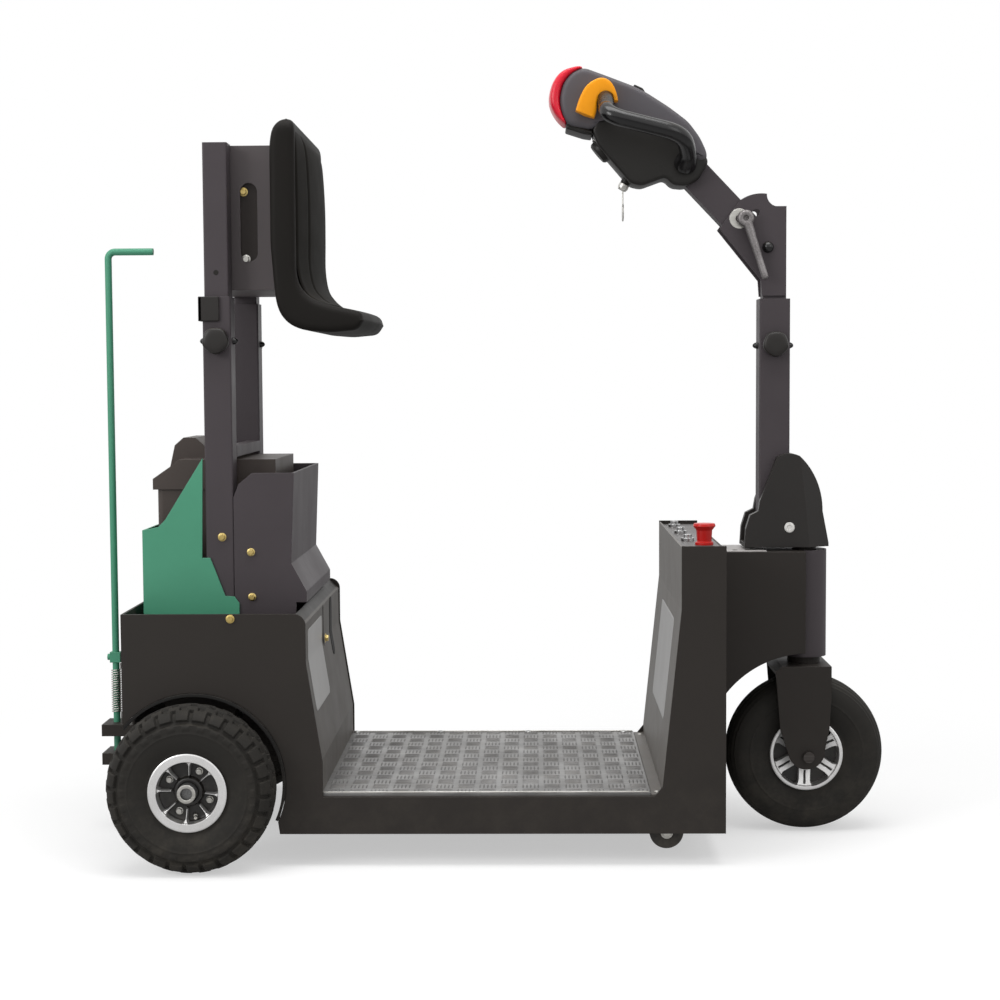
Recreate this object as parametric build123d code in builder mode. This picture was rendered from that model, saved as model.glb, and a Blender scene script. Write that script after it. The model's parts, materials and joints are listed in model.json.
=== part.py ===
"""Stand-on electric tow tractor: three wheels, a low deck, a lean seat and a tilting tiller.

Millimetres. +X is the direction of travel, +Y is the rider's left, +Z is up.
The origin lies on the floor, below the middle of the overall length.
"""
import os
from math import atan2, cos, degrees, hypot, radians, sin, sqrt

from build123d import *

os.makedirs("parts", exist_ok=True)

# Overall size and wheels; the rear reach runs from the rear axle to the end of the tow jaws
TYRE_R = 135.0
TYRE_HALF_W = 45.0
BEAD_R = 58.0
WHEELBASE = 1013.0
REAR_REACH = 204.0
TRACK = 590.0
OVERALL_LENGTH = TYRE_R + WHEELBASE + REAR_REACH
FRONT_X = OVERALL_LENGTH / 2 - TYRE_R
REAR_X = FRONT_X - WHEELBASE
AXLE_Z = TYRE_R
WHEEL_Y = TRACK / 2

# Clearances
SEAT_GAP = 0.3
RUN_GAP = 5.0
SHEET = 3.0
PLATE = 5.0

# Chassis
CHASSIS_W = 532.0
OUTER_Y = CHASSIS_W / 2
INNER_Y = OUTER_Y - PLATE
PANEL_Y = INNER_Y - SEAT_GAP
SILL_LOW = 53.0
SILL_TOP = 113.0
SILL_FLANGE = 34.0
DECK_T = 5.0
DECK_TOP = SILL_TOP + DECK_T
DECK_FRONT_X = FRONT_X - 281.0
DECK_REAR_X = REAR_X + 172.0
BOX_REAR_X = REAR_X - 115.0
BOX_TOP = 409.0
BOX_FRONT_TOP_X = REAR_X + 181.0
BOX_FRONT_LOW_X = REAR_X + 206.0
BOX_BEND_LOW = 170.0
BOX_BEND_HIGH = 330.0
ARCH_GAP = 12.0
ARCH_R = TYRE_R + ARCH_GAP
SILL_REAR_X = REAR_X + ARCH_R - 11.0
FLANGE_REAR_X = REAR_X + ARCH_R + 3.0
TRIM_T = 5.0
TRIM_HALF_W = 6.0
FLOOR_Z = AXLE_Z + ARCH_R + 2.0
FLOOR_T = 4.0
TOWER_TOP = 515.0
TOWER_FRONT_X = FRONT_X - 161.0
TOWER_REAR_TOP_X = FRONT_X - 232.0
TOWER_BEND_Z = 413.0
TOWER_REAR_LOW_X = FRONT_X - 262.0
TOWER_FOOT_Z = 129.0
TOWER_FOOT_X = FRONT_X - 275.0
CORNER_R = 18.0
TOWER_CORNER_R = 10.0
TOP_PANEL_DROP = 6.0

# Neck, head tube and steering
NECK_HALF_W = 65.0
NECK_TOP = 486.0
NECK_FRONT_X = FRONT_X - 6.0
NECK_ARCH_R = TYRE_R + 43.0
NECK_T = 4.0
HEAD_R = 38.0
HEAD_BORE_R = 28.0
FORK_TOP = AXLE_Z + TYRE_R + 20.0
HEAD_LOW = FORK_TOP + 12.0
STEM_R = 20.0
BEARING_H = 14.0
FORK_IN_Y = 57.0
FORK_T = 6.0
FORK_CROWN_T = 14.0
FRONT_BOLT_R = 8.0

# Column and hood
HOOD_LOW = NECK_TOP + 6.0
HOOD_BASE_T = 7.0
HOOD_HALF_W = 42.0
COLUMN_X = FRONT_X - 55.0
COLUMN_OUT = 52.0
COLUMN_IN = 40.0
COLUMN_GAP = 0.4
COLUMN_UP_LOW = 640.0
TUBE_WALL = 3.0
CHEEK_T = 4.0
WEB_T = 4.0
TILT_X = COLUMN_X - 12.0
TILT_Z = 1002.0
COLUMN_LOW_TOP = TILT_Z - 87.0
CLAMP_X = TILT_X - 39.0
CLAMP_Z = TILT_Z + 48.0
ARM_LOW = 30.0
ARM_HIGH = 22.0
ARM_HALF_W = 19.6
ARM_ANGLE = 133.5
TILT_RANGE = 20.0

# Seat masts and seat
MAST_X = REAR_X + 31.0
MAST_Y = 152.0
MAST_OUT = 46.0
MAST_IN = 40.0
MAST_GAP = 0.4
MAST_LOW_TOP = 918.0
MAST_UP_LOW = 650.0
MAST_TOP = 1167.0
BRACKET_LOW = 930.0
BRACKET_HALF_W = MAST_Y - MAST_IN / 2
SEAT_REAR_X = MAST_X + 92.0
SEAT_HALF_W = 200.0
SEAT_TOP = 1203.0

# Tow coupling
JAW_REAR_X = -OVERALL_LENGTH / 2
PIN_X = JAW_REAR_X + 20.0
PIN_R = 6.0
JAW_T = 20.0
JAW_LOW = 117.0
JAW_GAP = 30.0
JAW_HALF_W = 32.0
ROD_TOP = 1003.0
HANDLE_X = PIN_X + 78.0

# Anti-tip rollers
ROLLER_X = FRONT_X - 255.0
ROLLER_Z = 52.5
ROLLER_R = 27.5
ROLLER_Y = 238.0
ROLLER_HALF_W = 11.0
ROLLER_PIN_R = 5.0


def side_plane(y, x=0.0, z=0.0):
    """Vertical plane at y with its origin at (x, z): sketch x is +X, sketch y is +Z, extrusions run to -Y."""
    return Plane(origin=(x, y, z), x_dir=(1, 0, 0), z_dir=(0, -1, 0))


def wheel_plane(x, y, z):
    """Plane through a wheel centre: sketch x is the radius, sketch y runs along the axle."""
    return Plane(origin=(x, y, z), x_dir=(1, 0, 0), z_dir=(0, 0, 1))


def save(builder, name):
    """Label a finished piece and write it as its own file."""
    builder.part.label = name
    export_step(builder.part, f"parts/{name}.step")


SIDES = (("right", -1), ("left", 1))


def side_plate_outline():
    """One sheet side: wheel arch, rear box, low sill and tower, all in one cut blank."""
    arch_rear_z = AXLE_Z + sqrt(ARCH_R**2 - (BOX_REAR_X - REAR_X) ** 2)
    arch_end = radians(-25)
    arch_end_point = (REAR_X + ARCH_R * cos(arch_end), AXLE_Z + ARCH_R * sin(arch_end))
    with BuildLine() as outline:
        ThreePointArc(
            (BOX_REAR_X, arch_rear_z), (REAR_X, AXLE_Z + ARCH_R), arch_end_point
        )
        Polyline(
            arch_end_point,
            (SILL_REAR_X, SILL_LOW),
            (TOWER_FRONT_X, SILL_LOW),
            (TOWER_FRONT_X, TOWER_TOP),
            (TOWER_REAR_TOP_X, TOWER_TOP),
            (TOWER_REAR_TOP_X, TOWER_BEND_Z),
            (TOWER_REAR_LOW_X, TOWER_FOOT_Z),
            (TOWER_FOOT_X, SILL_TOP),
            (BOX_FRONT_LOW_X, SILL_TOP),
            (BOX_FRONT_LOW_X, BOX_BEND_LOW),
            (BOX_FRONT_TOP_X, BOX_BEND_HIGH),
            (BOX_FRONT_TOP_X, BOX_TOP),
            (BOX_REAR_X, BOX_TOP),
            (BOX_REAR_X, arch_rear_z),
        )
    return outline


def make_side_plate(name, sign):
    with BuildPart() as plate:
        with BuildSketch(side_plane(OUTER_Y if sign > 0 else -INNER_Y)) as blank:
            with BuildLine():
                add(side_plate_outline().line)
            make_face()
            corners = blank.vertices()
            box_corner = corners.sort_by_distance((BOX_FRONT_TOP_X, BOX_TOP, 0))[0]
            tower_corner = corners.sort_by_distance((TOWER_FRONT_X, TOWER_TOP, 0))[0]
            fillet(box_corner, CORNER_R)
            fillet(tower_corner, TOWER_CORNER_R)
        extrude(amount=PLATE)
        flange_y = sign * (INNER_Y - SILL_FLANGE / 2)
        length = TOWER_FRONT_X - NECK_T - FLANGE_REAR_X
        middle = (TOWER_FRONT_X - NECK_T + FLANGE_REAR_X) / 2
        for z in (SILL_LOW, SILL_TOP - SHEET):
            with Locations((middle, flange_y, z + SHEET / 2)):
                Box(length, SILL_FLANGE, SHEET)
        with Locations((ROLLER_X, flange_y - sign * 1, SILL_LOW)):
            Box(2 * (ROLLER_R + 2 * RUN_GAP), SILL_FLANGE, 4 * SHEET, mode=Mode.SUBTRACT)
    save(plate, name)


for side, sign in SIDES:
    make_side_plate(f"side_plate_{side}", sign)

# Rubber edge trim round each rear wheel arch
TRIM_END = radians(-24)
with BuildPart() as trims:
    for side, sign in SIDES:
        with BuildSketch(side_plane(sign * OUTER_Y + TRIM_HALF_W)):
            with Locations((REAR_X, AXLE_Z)):
                Circle(ARCH_R - SEAT_GAP)
                Circle(ARCH_R - TRIM_T, mode=Mode.SUBTRACT)
            with BuildLine():
                Polyline(
                    (BOX_REAR_X + SHEET, AXLE_Z + ARCH_R + TRIM_T),
                    (BOX_REAR_X + SHEET, AXLE_Z),
                    (REAR_X, AXLE_Z),
                    (REAR_X + ARCH_R * cos(TRIM_END), AXLE_Z + ARCH_R * sin(TRIM_END)),
                    (REAR_X + ARCH_R + TRIM_T, AXLE_Z),
                    (REAR_X + ARCH_R + TRIM_T, AXLE_Z + ARCH_R + TRIM_T),
                    close=True,
                )
            make_face(mode=Mode.INTERSECT)
        extrude(amount=2 * TRIM_HALF_W)
save(trims, "arch_trims")

# Deck: chequer plate on the sill flanges, and the tubes that carry it
with BuildPart() as deck:
    with Locations(((DECK_FRONT_X + DECK_REAR_X) / 2, 0, SILL_TOP + DECK_T / 2)):
        Box(DECK_FRONT_X - DECK_REAR_X, 2 * (OUTER_Y - 8), DECK_T)
save(deck, "deck_plate")

BEARER = 40.0
BEARER_REAR_X = DECK_REAR_X + 50.0
BEARER_FRONT_X = DECK_FRONT_X - 20.0
BEARER_PITCH = (BEARER_FRONT_X - BEARER_REAR_X) / 3
with BuildPart() as bearers:
    for x in (*(BEARER_REAR_X + k * BEARER_PITCH for k in range(4)), TOWER_FRONT_X - 30):
        with Locations((x, 0, SILL_TOP - BEARER / 2)):
            Box(BEARER, 2 * (INNER_Y - SILL_FLANGE - SEAT_GAP), BEARER)
            Box(BEARER - 2 * SHEET, 2 * INNER_Y, BEARER - 2 * SHEET, mode=Mode.SUBTRACT)
save(bearers, "deck_bearers")


def sheet_profile(points, thickness, half_w, x=0.0, z=0.0):
    """Bent sheet across the chassis: its section, drawn from (x, z), runs through the points."""
    with BuildPart() as sheet:
        with BuildSketch(side_plane(half_w, x, z)):
            with BuildLine():
                bend = Polyline(*points)
                offset(bend, amount=thickness, side=Side.LEFT)
            make_face()
        extrude(amount=2 * half_w)
    return sheet


# Front wall of the rear box, bent like the edge of the side plates
kick = sheet_profile(
    (
        (BOX_FRONT_LOW_X - 2, DECK_TOP),
        (BOX_FRONT_LOW_X - 2, BOX_BEND_LOW),
        (BOX_FRONT_TOP_X - 2, BOX_BEND_HIGH),
        (BOX_FRONT_TOP_X - 2, BOX_TOP - CORNER_R),
        (BOX_FRONT_TOP_X - CORNER_R, BOX_TOP - 2),
    ),
    SHEET,
    PANEL_Y,
)
SLOT_Z = 355.0
with BuildPart() as kick_panel:
    add(kick.part)
    with BuildSketch(Plane.YZ.offset(BOX_FRONT_TOP_X - 20)):
        with Locations((0, SLOT_Z)):
            SlotOverall(72, 12, rotation=90)
    extrude(amount=30, mode=Mode.SUBTRACT)
save(kick_panel, "kick_panel")

# Back wall of the rear box, narrow below where the tyres turn, and the floor above the tyres
WALL_LOW_Z = 92.0
WALL_LOW_Y = 150.0
WALL_WIDE_Z = 240.0
WALL_NARROW_Y = 200.0
with BuildPart() as rear_box:
    with BuildSketch(Plane.YZ.offset(BOX_REAR_X)):
        with BuildLine():
            Polyline(
                (-PANEL_Y, WALL_WIDE_Z),
                (-PANEL_Y, BOX_TOP),
                (PANEL_Y, BOX_TOP),
                (PANEL_Y, WALL_WIDE_Z),
                (WALL_NARROW_Y, WALL_WIDE_Z),
                (WALL_LOW_Y, WALL_LOW_Z),
                (-WALL_LOW_Y, WALL_LOW_Z),
                (-WALL_NARROW_Y, WALL_WIDE_Z),
                close=True,
            )
        make_face()
    extrude(amount=FLOOR_T)
    floor_front_x = BOX_FRONT_TOP_X - SHEET - 2
    with Locations(((BOX_REAR_X + floor_front_x) / 2, 0, FLOOR_Z + FLOOR_T / 2)):
        Box(floor_front_x - BOX_REAR_X, 2 * PANEL_Y, FLOOR_T)
save(rear_box, "rear_box")

# Rider side of the tower, with its foot lying on the bearers
panel = sheet_profile(
    (
        (DECK_FRONT_X + 1, SILL_TOP),
        (TOWER_REAR_LOW_X + SHEET, SILL_TOP),
        (TOWER_REAR_LOW_X + SHEET, TOWER_FOOT_Z),
        (TOWER_REAR_TOP_X + SHEET, TOWER_BEND_Z),
        (TOWER_REAR_TOP_X + SHEET, TOWER_TOP - 2),
    ),
    SHEET,
    PANEL_Y,
)
with BuildPart() as tower_panel:
    add(panel.part)
save(tower_panel, "tower_panel")

with BuildPart() as tower_front:
    with Locations((TOWER_FRONT_X - NECK_T / 2, 0, (SILL_LOW + TOWER_TOP - TOP_PANEL_DROP) / 2)):
        Box(NECK_T, 2 * PANEL_Y, TOWER_TOP - TOP_PANEL_DROP - SILL_LOW)
save(tower_front, "tower_front")

with BuildPart() as tower_top:
    top_low_x = TOWER_REAR_TOP_X + SHEET
    top_high_x = TOWER_FRONT_X - NECK_T
    with Locations(((top_low_x + top_high_x) / 2, 0, TOWER_TOP - TOP_PANEL_DROP - SHEET / 2)):
        Box(top_high_x - top_low_x, 2 * PANEL_Y, SHEET)
save(tower_top, "tower_top")
TOP_Z = TOWER_TOP - TOP_PANEL_DROP

# Stop button and the small fittings beside it
STOP_X = TOWER_FRONT_X - 27.0
STOP_Y = -172.0
STOP_ROWS = (
    # radius, height above the panel
    (15, 0),
    (15, 4),
    (12, 6),
    (13, 24),
    (18.5, 31),
    (17, 35),
    (0, 36),
)
with BuildPart() as e_stop:
    with BuildSketch(side_plane(STOP_Y, STOP_X, TOP_Z)):
        with BuildLine():
            Polyline((0, 0), *STOP_ROWS, close=True)
        make_face()
    revolve(axis=Axis((STOP_X, STOP_Y, 0), (0, 0, 1)))
save(e_stop, "stop_button")

FITTING_X = STOP_X - 21.0
FITTING_Y = (192.0, 52.0, -97.0)
with BuildPart() as fittings:
    for y in FITTING_Y:
        with Locations((FITTING_X, y, TOP_Z + 2.5)):
            Cylinder(11, 5)
        with Locations((FITTING_X, y, TOP_Z + 8)):
            Cylinder(7, 6)
save(fittings, "top_fittings")

# Neck: a hollow box arm with an arched underside over the front wheel
arch_mid = radians(120)


def neck_profile(inset):
    """Side outline of the neck, drawn in by the inset."""
    r = NECK_ARCH_R + inset
    low = AXLE_Z + sqrt(r**2 - (FRONT_X - TOWER_FRONT_X) ** 2)
    high = AXLE_Z + sqrt(r**2 - (FRONT_X - NECK_FRONT_X) ** 2)
    middle = (FRONT_X + r * cos(arch_mid), AXLE_Z + r * sin(arch_mid))
    with BuildLine() as outline:
        ThreePointArc((TOWER_FRONT_X, low), middle, (NECK_FRONT_X, high))
        Polyline(
            (NECK_FRONT_X, high),
            (NECK_FRONT_X, NECK_TOP - inset),
            (TOWER_FRONT_X, NECK_TOP - inset),
            (TOWER_FRONT_X, low),
        )
    return outline


with BuildPart() as neck:
    with BuildSketch(side_plane(NECK_HALF_W)):
        with BuildLine():
            add(neck_profile(0).line)
        make_face()
    extrude(amount=2 * NECK_HALF_W)
    with BuildSketch(side_plane(NECK_HALF_W - NECK_T)):
        with BuildLine():
            add(neck_profile(NECK_T).line)
        make_face()
    extrude(amount=2 * (NECK_HALF_W - NECK_T), mode=Mode.SUBTRACT)
    with BuildSketch(Plane.XY.offset(HEAD_LOW)):
        with Locations((FRONT_X, 0)):
            Circle(HEAD_R + 0.2)
    extrude(amount=TOWER_TOP - HEAD_LOW, mode=Mode.SUBTRACT)
save(neck, "neck_box")

with BuildPart() as head_tube:
    with BuildSketch(Plane.XZ):
        with BuildLine():
            Polyline(
                (FRONT_X + STEM_R + SEAT_GAP, HEAD_LOW),
                (FRONT_X + HEAD_R, HEAD_LOW),
                (FRONT_X + HEAD_R, NECK_TOP),
                (FRONT_X + STEM_R + SEAT_GAP, NECK_TOP),
                (FRONT_X + STEM_R + SEAT_GAP, NECK_TOP - BEARING_H),
                (FRONT_X + HEAD_BORE_R, NECK_TOP - BEARING_H),
                (FRONT_X + HEAD_BORE_R, HEAD_LOW + BEARING_H),
                (FRONT_X + STEM_R + SEAT_GAP, HEAD_LOW + BEARING_H),
                close=True,
            )
        make_face()
    revolve(axis=Axis((FRONT_X, 0, 0), (0, 0, 1)))
save(head_tube, "head_tube")

# Fork with its crown and the steering stem
FORK_LENGTH = 140.0
FORK_CROWN_Z = FORK_TOP - AXLE_Z
with BuildPart() as fork:
    with BuildSketch(side_plane(FORK_IN_Y + FORK_T, FRONT_X, AXLE_Z)):
        with BuildLine():
            Polyline((39, FORK_CROWN_Z), (-45, FORK_CROWN_Z), (-56, FORK_CROWN_Z - 9), (-48, 49), (-32, -2))
            ThreePointArc((-32, -2), (-2, -22), (28, 10))
            Polyline((28, 10), (36, 49), (39, 106), (39, FORK_CROWN_Z))
        make_face()
    extrude(amount=2 * (FORK_IN_Y + FORK_T))
    with Locations((FRONT_X, 0, (FORK_TOP - FORK_CROWN_T) / 2)):
        Box(FORK_LENGTH, 2 * FORK_IN_Y, FORK_TOP - FORK_CROWN_T, mode=Mode.SUBTRACT)
    with Locations((FRONT_X, 0, (FORK_TOP + HEAD_LOW - SEAT_GAP) / 2)):
        Cylinder(STEM_R + 8, HEAD_LOW - SEAT_GAP - FORK_TOP)
    with Locations((FRONT_X, 0, (FORK_TOP + HOOD_LOW) / 2)):
        Cylinder(STEM_R, HOOD_LOW - FORK_TOP)
    with BuildSketch(side_plane(FORK_IN_Y + FORK_T, FRONT_X, AXLE_Z)):
        Circle(FRONT_BOLT_R + 0.1)
    extrude(amount=2 * (FORK_IN_Y + FORK_T), mode=Mode.SUBTRACT)
save(fork, "fork")


def wheel_axis(x, y, z):
    """Axis of a wheel, across the tractor."""
    return Axis((x, y, z), (0, 1, 0))


RIM_OUT = BEAD_R - 0.2
RIM_IN = 50.0
RIM_LIP_R = 62.5
RIM_HALF = 37.0
RIM_LIP_T = 3.0
HUB_R = 20.0
WEB_BACK = 15.0
WEB_FACE = 30.0
POCKET_DEPTH = 10.0
FLANK_Y = RIM_HALF - SEAT_GAP
TYRE_ROWS = (
    # drop below the crown, distance in from the widest line
    (0, 35),
    (4, 20),
    (10, 9),
    (21, 3),
    (37, 0),
    (51, 2),
)


def make_tyre(name, x, y):
    """Tyre turned from a section of short straight lines, seated on the rim between its lips."""
    flank = [(TYRE_R - drop, TYRE_HALF_W - inset) for drop, inset in TYRE_ROWS]
    with BuildPart() as tyre:
        with BuildSketch(wheel_plane(x, y, AXLE_Z)):
            with BuildLine():
                Polyline(
                    *((r, -across) for r, across in flank),
                    (RIM_LIP_R + 1, -FLANK_Y),
                    (BEAD_R, -FLANK_Y),
                    (BEAD_R, FLANK_Y),
                    (RIM_LIP_R + 1, FLANK_Y),
                    *reversed(flank),
                    close=True,
                )
            make_face()
        revolve(axis=wheel_axis(x, y, AXLE_Z))
    save(tyre, name)


def rim_profile(face, half_hub, bore):
    """Half section of a rim: barrel with two lips, a thick web near the outer face and a hub."""
    half = RIM_HALF
    lip = RIM_HALF + RIM_LIP_T
    with BuildLine() as outline:
        Polyline(
            (bore, -half_hub * face),
            (HUB_R, -half_hub * face),
            (HUB_R, WEB_BACK * face),
            (RIM_IN, WEB_BACK * face),
            (RIM_IN, -lip * face),
            (RIM_LIP_R, -lip * face),
            (RIM_LIP_R, -half * face),
            (RIM_OUT, -half * face),
            (RIM_OUT, half * face),
            (RIM_LIP_R, half * face),
            (RIM_LIP_R, lip * face),
            (RIM_IN, lip * face),
            (RIM_IN, WEB_FACE * face),
            (HUB_R, WEB_FACE * face),
            (HUB_R, half_hub * face),
            (bore, half_hub * face),
            close=True,
        )
    return outline


def make_rim(name, x, y, face, bore, half_hub, pockets, first_angle, wide, narrow):
    """Rim whose web keeps ribs between pockets; each pocket is wide at the ring and narrow at the hub."""
    pocket_low = HUB_R + 6
    pocket_high = RIM_IN - 3
    reach = pocket_high - pocket_low
    flank_angle = degrees(atan2(reach, (wide - narrow) / 2))
    with BuildPart() as rim:
        with BuildSketch(wheel_plane(x, y, AXLE_Z)):
            with BuildLine():
                add(rim_profile(face, half_hub, bore).line)
            make_face()
        revolve(axis=wheel_axis(x, y, AXLE_Z))
        with BuildSketch(side_plane(y + WEB_FACE * face, x, AXLE_Z)):
            with PolarLocations((pocket_low + pocket_high) / 2, pockets, start_angle=first_angle):
                Trapezoid(wide, reach, flank_angle, rotation=90)
        extrude(amount=POCKET_DEPTH * face, mode=Mode.SUBTRACT)
    save(rim, name)


FRONT_HUB_HALF = 52.0
REAR_HUB_IN = 268.0
make_tyre("front_tyre", FRONT_X, 0)
make_rim("front_rim", FRONT_X, 0, -1, FRONT_BOLT_R + SEAT_GAP, FRONT_HUB_HALF, 6, -63, 26, 9)

REAR_SHAFT_R = 12.5
REAR_HUB_HALF = WHEEL_Y - REAR_HUB_IN
for side, sign in SIDES:
    make_tyre(f"rear_tyre_{side}", REAR_X, sign * WHEEL_Y)
    make_rim(
        f"rear_rim_{side}", REAR_X, sign * WHEEL_Y, sign, REAR_SHAFT_R + SEAT_GAP,
        REAR_HUB_HALF, 8, 63.5, 24, 14,
    )

# Front axle bolt with its spacers and nuts
SPACER_R = 12.0
NUT_R = 9.5
NUT_T = 8.0
with BuildPart() as front_axle:
    leg_out = FORK_IN_Y + FORK_T
    hub_end = FRONT_HUB_HALF + SEAT_GAP
    half_rows = (
        (FRONT_BOLT_R, hub_end),
        (SPACER_R, hub_end),
        (SPACER_R, FORK_IN_Y),
        (FRONT_BOLT_R, FORK_IN_Y),
        (FRONT_BOLT_R, leg_out),
        (NUT_R, leg_out),
        (NUT_R, leg_out + NUT_T),
        (0, leg_out + NUT_T),
    )
    with BuildSketch(wheel_plane(FRONT_X, 0, AXLE_Z)):
        with BuildLine():
            Polyline(*half_rows, *((r, -y) for r, y in reversed(half_rows)), close=True)
        make_face()
    revolve(axis=wheel_axis(FRONT_X, 0, AXLE_Z))
save(front_axle, "front_axle")

# Drive axle: gear case, axle tubes, shaft ends with nuts, and the motor in front of it
CASE_R = 74.0
TUBE_R = 28.0
MOTOR_R = 50.0
MOTOR_X = REAR_X + 92.0
MOTOR_Z = AXLE_Z + 50.0
with BuildPart() as drive_axle:
    with BuildSketch(wheel_plane(REAR_X, 0, AXLE_Z)):
        hub_out = WHEEL_Y + REAR_HUB_HALF
        with BuildLine():
            Polyline(
                (0, 0),
                (0, hub_out + 10),
                (9.5, hub_out + 10),
                (9.5, hub_out + 18),
                (14.8, hub_out + 18),
                (14.8, hub_out + SEAT_GAP),
                (REAR_SHAFT_R, hub_out + SEAT_GAP),
                (REAR_SHAFT_R, REAR_HUB_IN - SEAT_GAP),
                (TUBE_R, REAR_HUB_IN - SEAT_GAP),
                (TUBE_R, 90),
                (50, 70),
                (CASE_R, 44),
                (CASE_R, 0),
                close=True,
            )
        make_face()
    revolve(axis=wheel_axis(REAR_X, 0, AXLE_Z))
    mirror(about=Plane.XZ)
save(drive_axle, "drive_axle")

with BuildPart() as motor:
    with BuildSketch(side_plane(60)):
        with Locations((MOTOR_X, MOTOR_Z)):
            Circle(MOTOR_R)
    extrude(amount=160)
    with BuildSketch(side_plane(60)):
        with Locations((REAR_X, AXLE_Z)):
            Circle(CASE_R + SEAT_GAP)
    extrude(amount=160, mode=Mode.SUBTRACT)
save(motor, "drive_motor")

# Hangers that clamp the axle tubes under the floor
HANGER_Y = (170.0, 200.0)
HANGER_T = 6.0
HANGER_R = TUBE_R + 12.0
hanger_top = FLOOR_Z - SEAT_GAP - AXLE_Z
with BuildPart() as hangers:
    for sign in (-1, 1):
        for y in HANGER_Y:
            with BuildSketch(side_plane(sign * y + HANGER_T / 2, REAR_X, AXLE_Z)):
                with BuildLine():
                    Polyline((-60, hanger_top), (-60, hanger_top - 20), (-HANGER_R, 0))
                    ThreePointArc((-HANGER_R, 0), (0, -HANGER_R), (HANGER_R, 0))
                    Polyline((HANGER_R, 0), (60, hanger_top - 20), (60, hanger_top), (-60, hanger_top))
                make_face()
                Circle(TUBE_R + 0.2, mode=Mode.SUBTRACT)
            extrude(amount=HANGER_T)
save(hangers, "axle_hangers")

# Steering hood: base plate on the stem, cheeks round the column foot, and a front with two slanted facets
HOOD_H = 154.0
FACET_X = COLUMN_X + 59.0
FACET_TIP_X = COLUMN_X + 96.0
FACET_TIP_Y = 20.0
FACET_LEAN = (-14.0, 0.0, 132.0)
with BuildPart() as hood:
    with BuildSketch(side_plane(HOOD_HALF_W, COLUMN_X, HOOD_LOW)):
        with BuildLine():
            Polyline((3, HOOD_H), (-26, 80), (-29, 62), (-43, 55), (-50, 32), (-52, 0))
            Polyline((-52, 0), (94, 0), (94, 6), (83, 61))
            ThreePointArc((83, 61), (72, 114), (41, HOOD_H + 2))
            ThreePointArc((41, HOOD_H + 2), (22, HOOD_H + 6), (3, HOOD_H))
        make_face()
    extrude(amount=2 * HOOD_HALF_W)
    with BuildSketch(Plane.XY.offset(HOOD_LOW)):
        with BuildLine():
            Polyline(
                (COLUMN_X - HOOD_H, -HOOD_HALF_W),
                (FACET_X, -HOOD_HALF_W),
                (FACET_TIP_X, -FACET_TIP_Y),
                (FACET_TIP_X, FACET_TIP_Y),
                (FACET_X, HOOD_HALF_W),
                (COLUMN_X - HOOD_H, HOOD_HALF_W),
                close=True,
            )
        make_face()
    extrude(amount=1.5 * HOOD_H, dir=FACET_LEAN, mode=Mode.INTERSECT)
    column_half = COLUMN_OUT / 2 + SEAT_GAP
    with BuildSketch(Plane.XY.offset(HOOD_LOW + HOOD_BASE_T)):
        with Locations((COLUMN_X + column_half - HOOD_H / 2, 0)):
            Rectangle(HOOD_H, 2 * column_half)
    extrude(amount=2 * HOOD_H, mode=Mode.SUBTRACT)
save(hood, "steering_hood")


def square_tube(x, y, low, high, outer, wall):
    with BuildPart() as tube:
        with BuildSketch(Plane.XY.offset(low)):
            with Locations((x, y)):
                RectangleRounded(outer, outer, 3)
                Rectangle(outer - 2 * wall, outer - 2 * wall, mode=Mode.SUBTRACT)
        extrude(amount=high - low)
    return tube


# Column: lower tube in the hood, upper tube sliding in it, cheeks on top
column_wall = (COLUMN_OUT - COLUMN_IN) / 2 - COLUMN_GAP
lower = square_tube(COLUMN_X, 0, HOOD_LOW + HOOD_BASE_T, COLUMN_LOW_TOP, COLUMN_OUT, column_wall)
with BuildPart() as column_lower:
    add(lower.part)
save(column_lower, "column_lower")

upper = square_tube(COLUMN_X, 0, COLUMN_UP_LOW, TILT_Z - ARM_LOW - 4, COLUMN_IN, TUBE_WALL)
CHEEK_IN = COLUMN_IN / 2
arm_dir = Vector(cos(radians(ARM_ANGLE)), 0, sin(radians(ARM_ANGLE)))
arm_plane = Plane(origin=(TILT_X, 0, TILT_Z), x_dir=arm_dir, z_dir=(0, -1, 0))
with BuildPart() as column_upper:
    add(upper.part)
    for y in (CHEEK_IN + CHEEK_T, -CHEEK_IN):
        with BuildSketch(side_plane(y, TILT_X, TILT_Z)):
            with BuildLine():
                Polyline((31, -82), (31, 69), (13, 69))
                ThreePointArc((13, 69), (3, 75), (-2, 90))
                ThreePointArc((-2, 90), (-26, 89), (-48, 79))
                Polyline((-48, 79), (-82, 32), (-12, -55), (-10, -82), (31, -82))
            make_face()
            with BuildLine():
                slot_r = hypot(CLAMP_X - TILT_X, CLAMP_Z - TILT_Z)
                start = atan2(CLAMP_Z - TILT_Z, CLAMP_X - TILT_X)
                turns = [start - radians(a) for a in (-1, TILT_RANGE / 2, TILT_RANGE + 1)]
                slot_path = ThreePointArc(*((slot_r * cos(a), slot_r * sin(a)) for a in turns))
            SlotArc(slot_path, 11, mode=Mode.SUBTRACT)
            Circle(6.3, mode=Mode.SUBTRACT)
        extrude(amount=CHEEK_T)
    with BuildSketch(arm_plane.offset(-CHEEK_IN)):
        with Locations((48, ARM_LOW + SEAT_GAP + WEB_T / 2)):
            Rectangle(54, WEB_T)
    extrude(amount=2 * CHEEK_IN)
save(column_upper, "column_upper")

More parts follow.
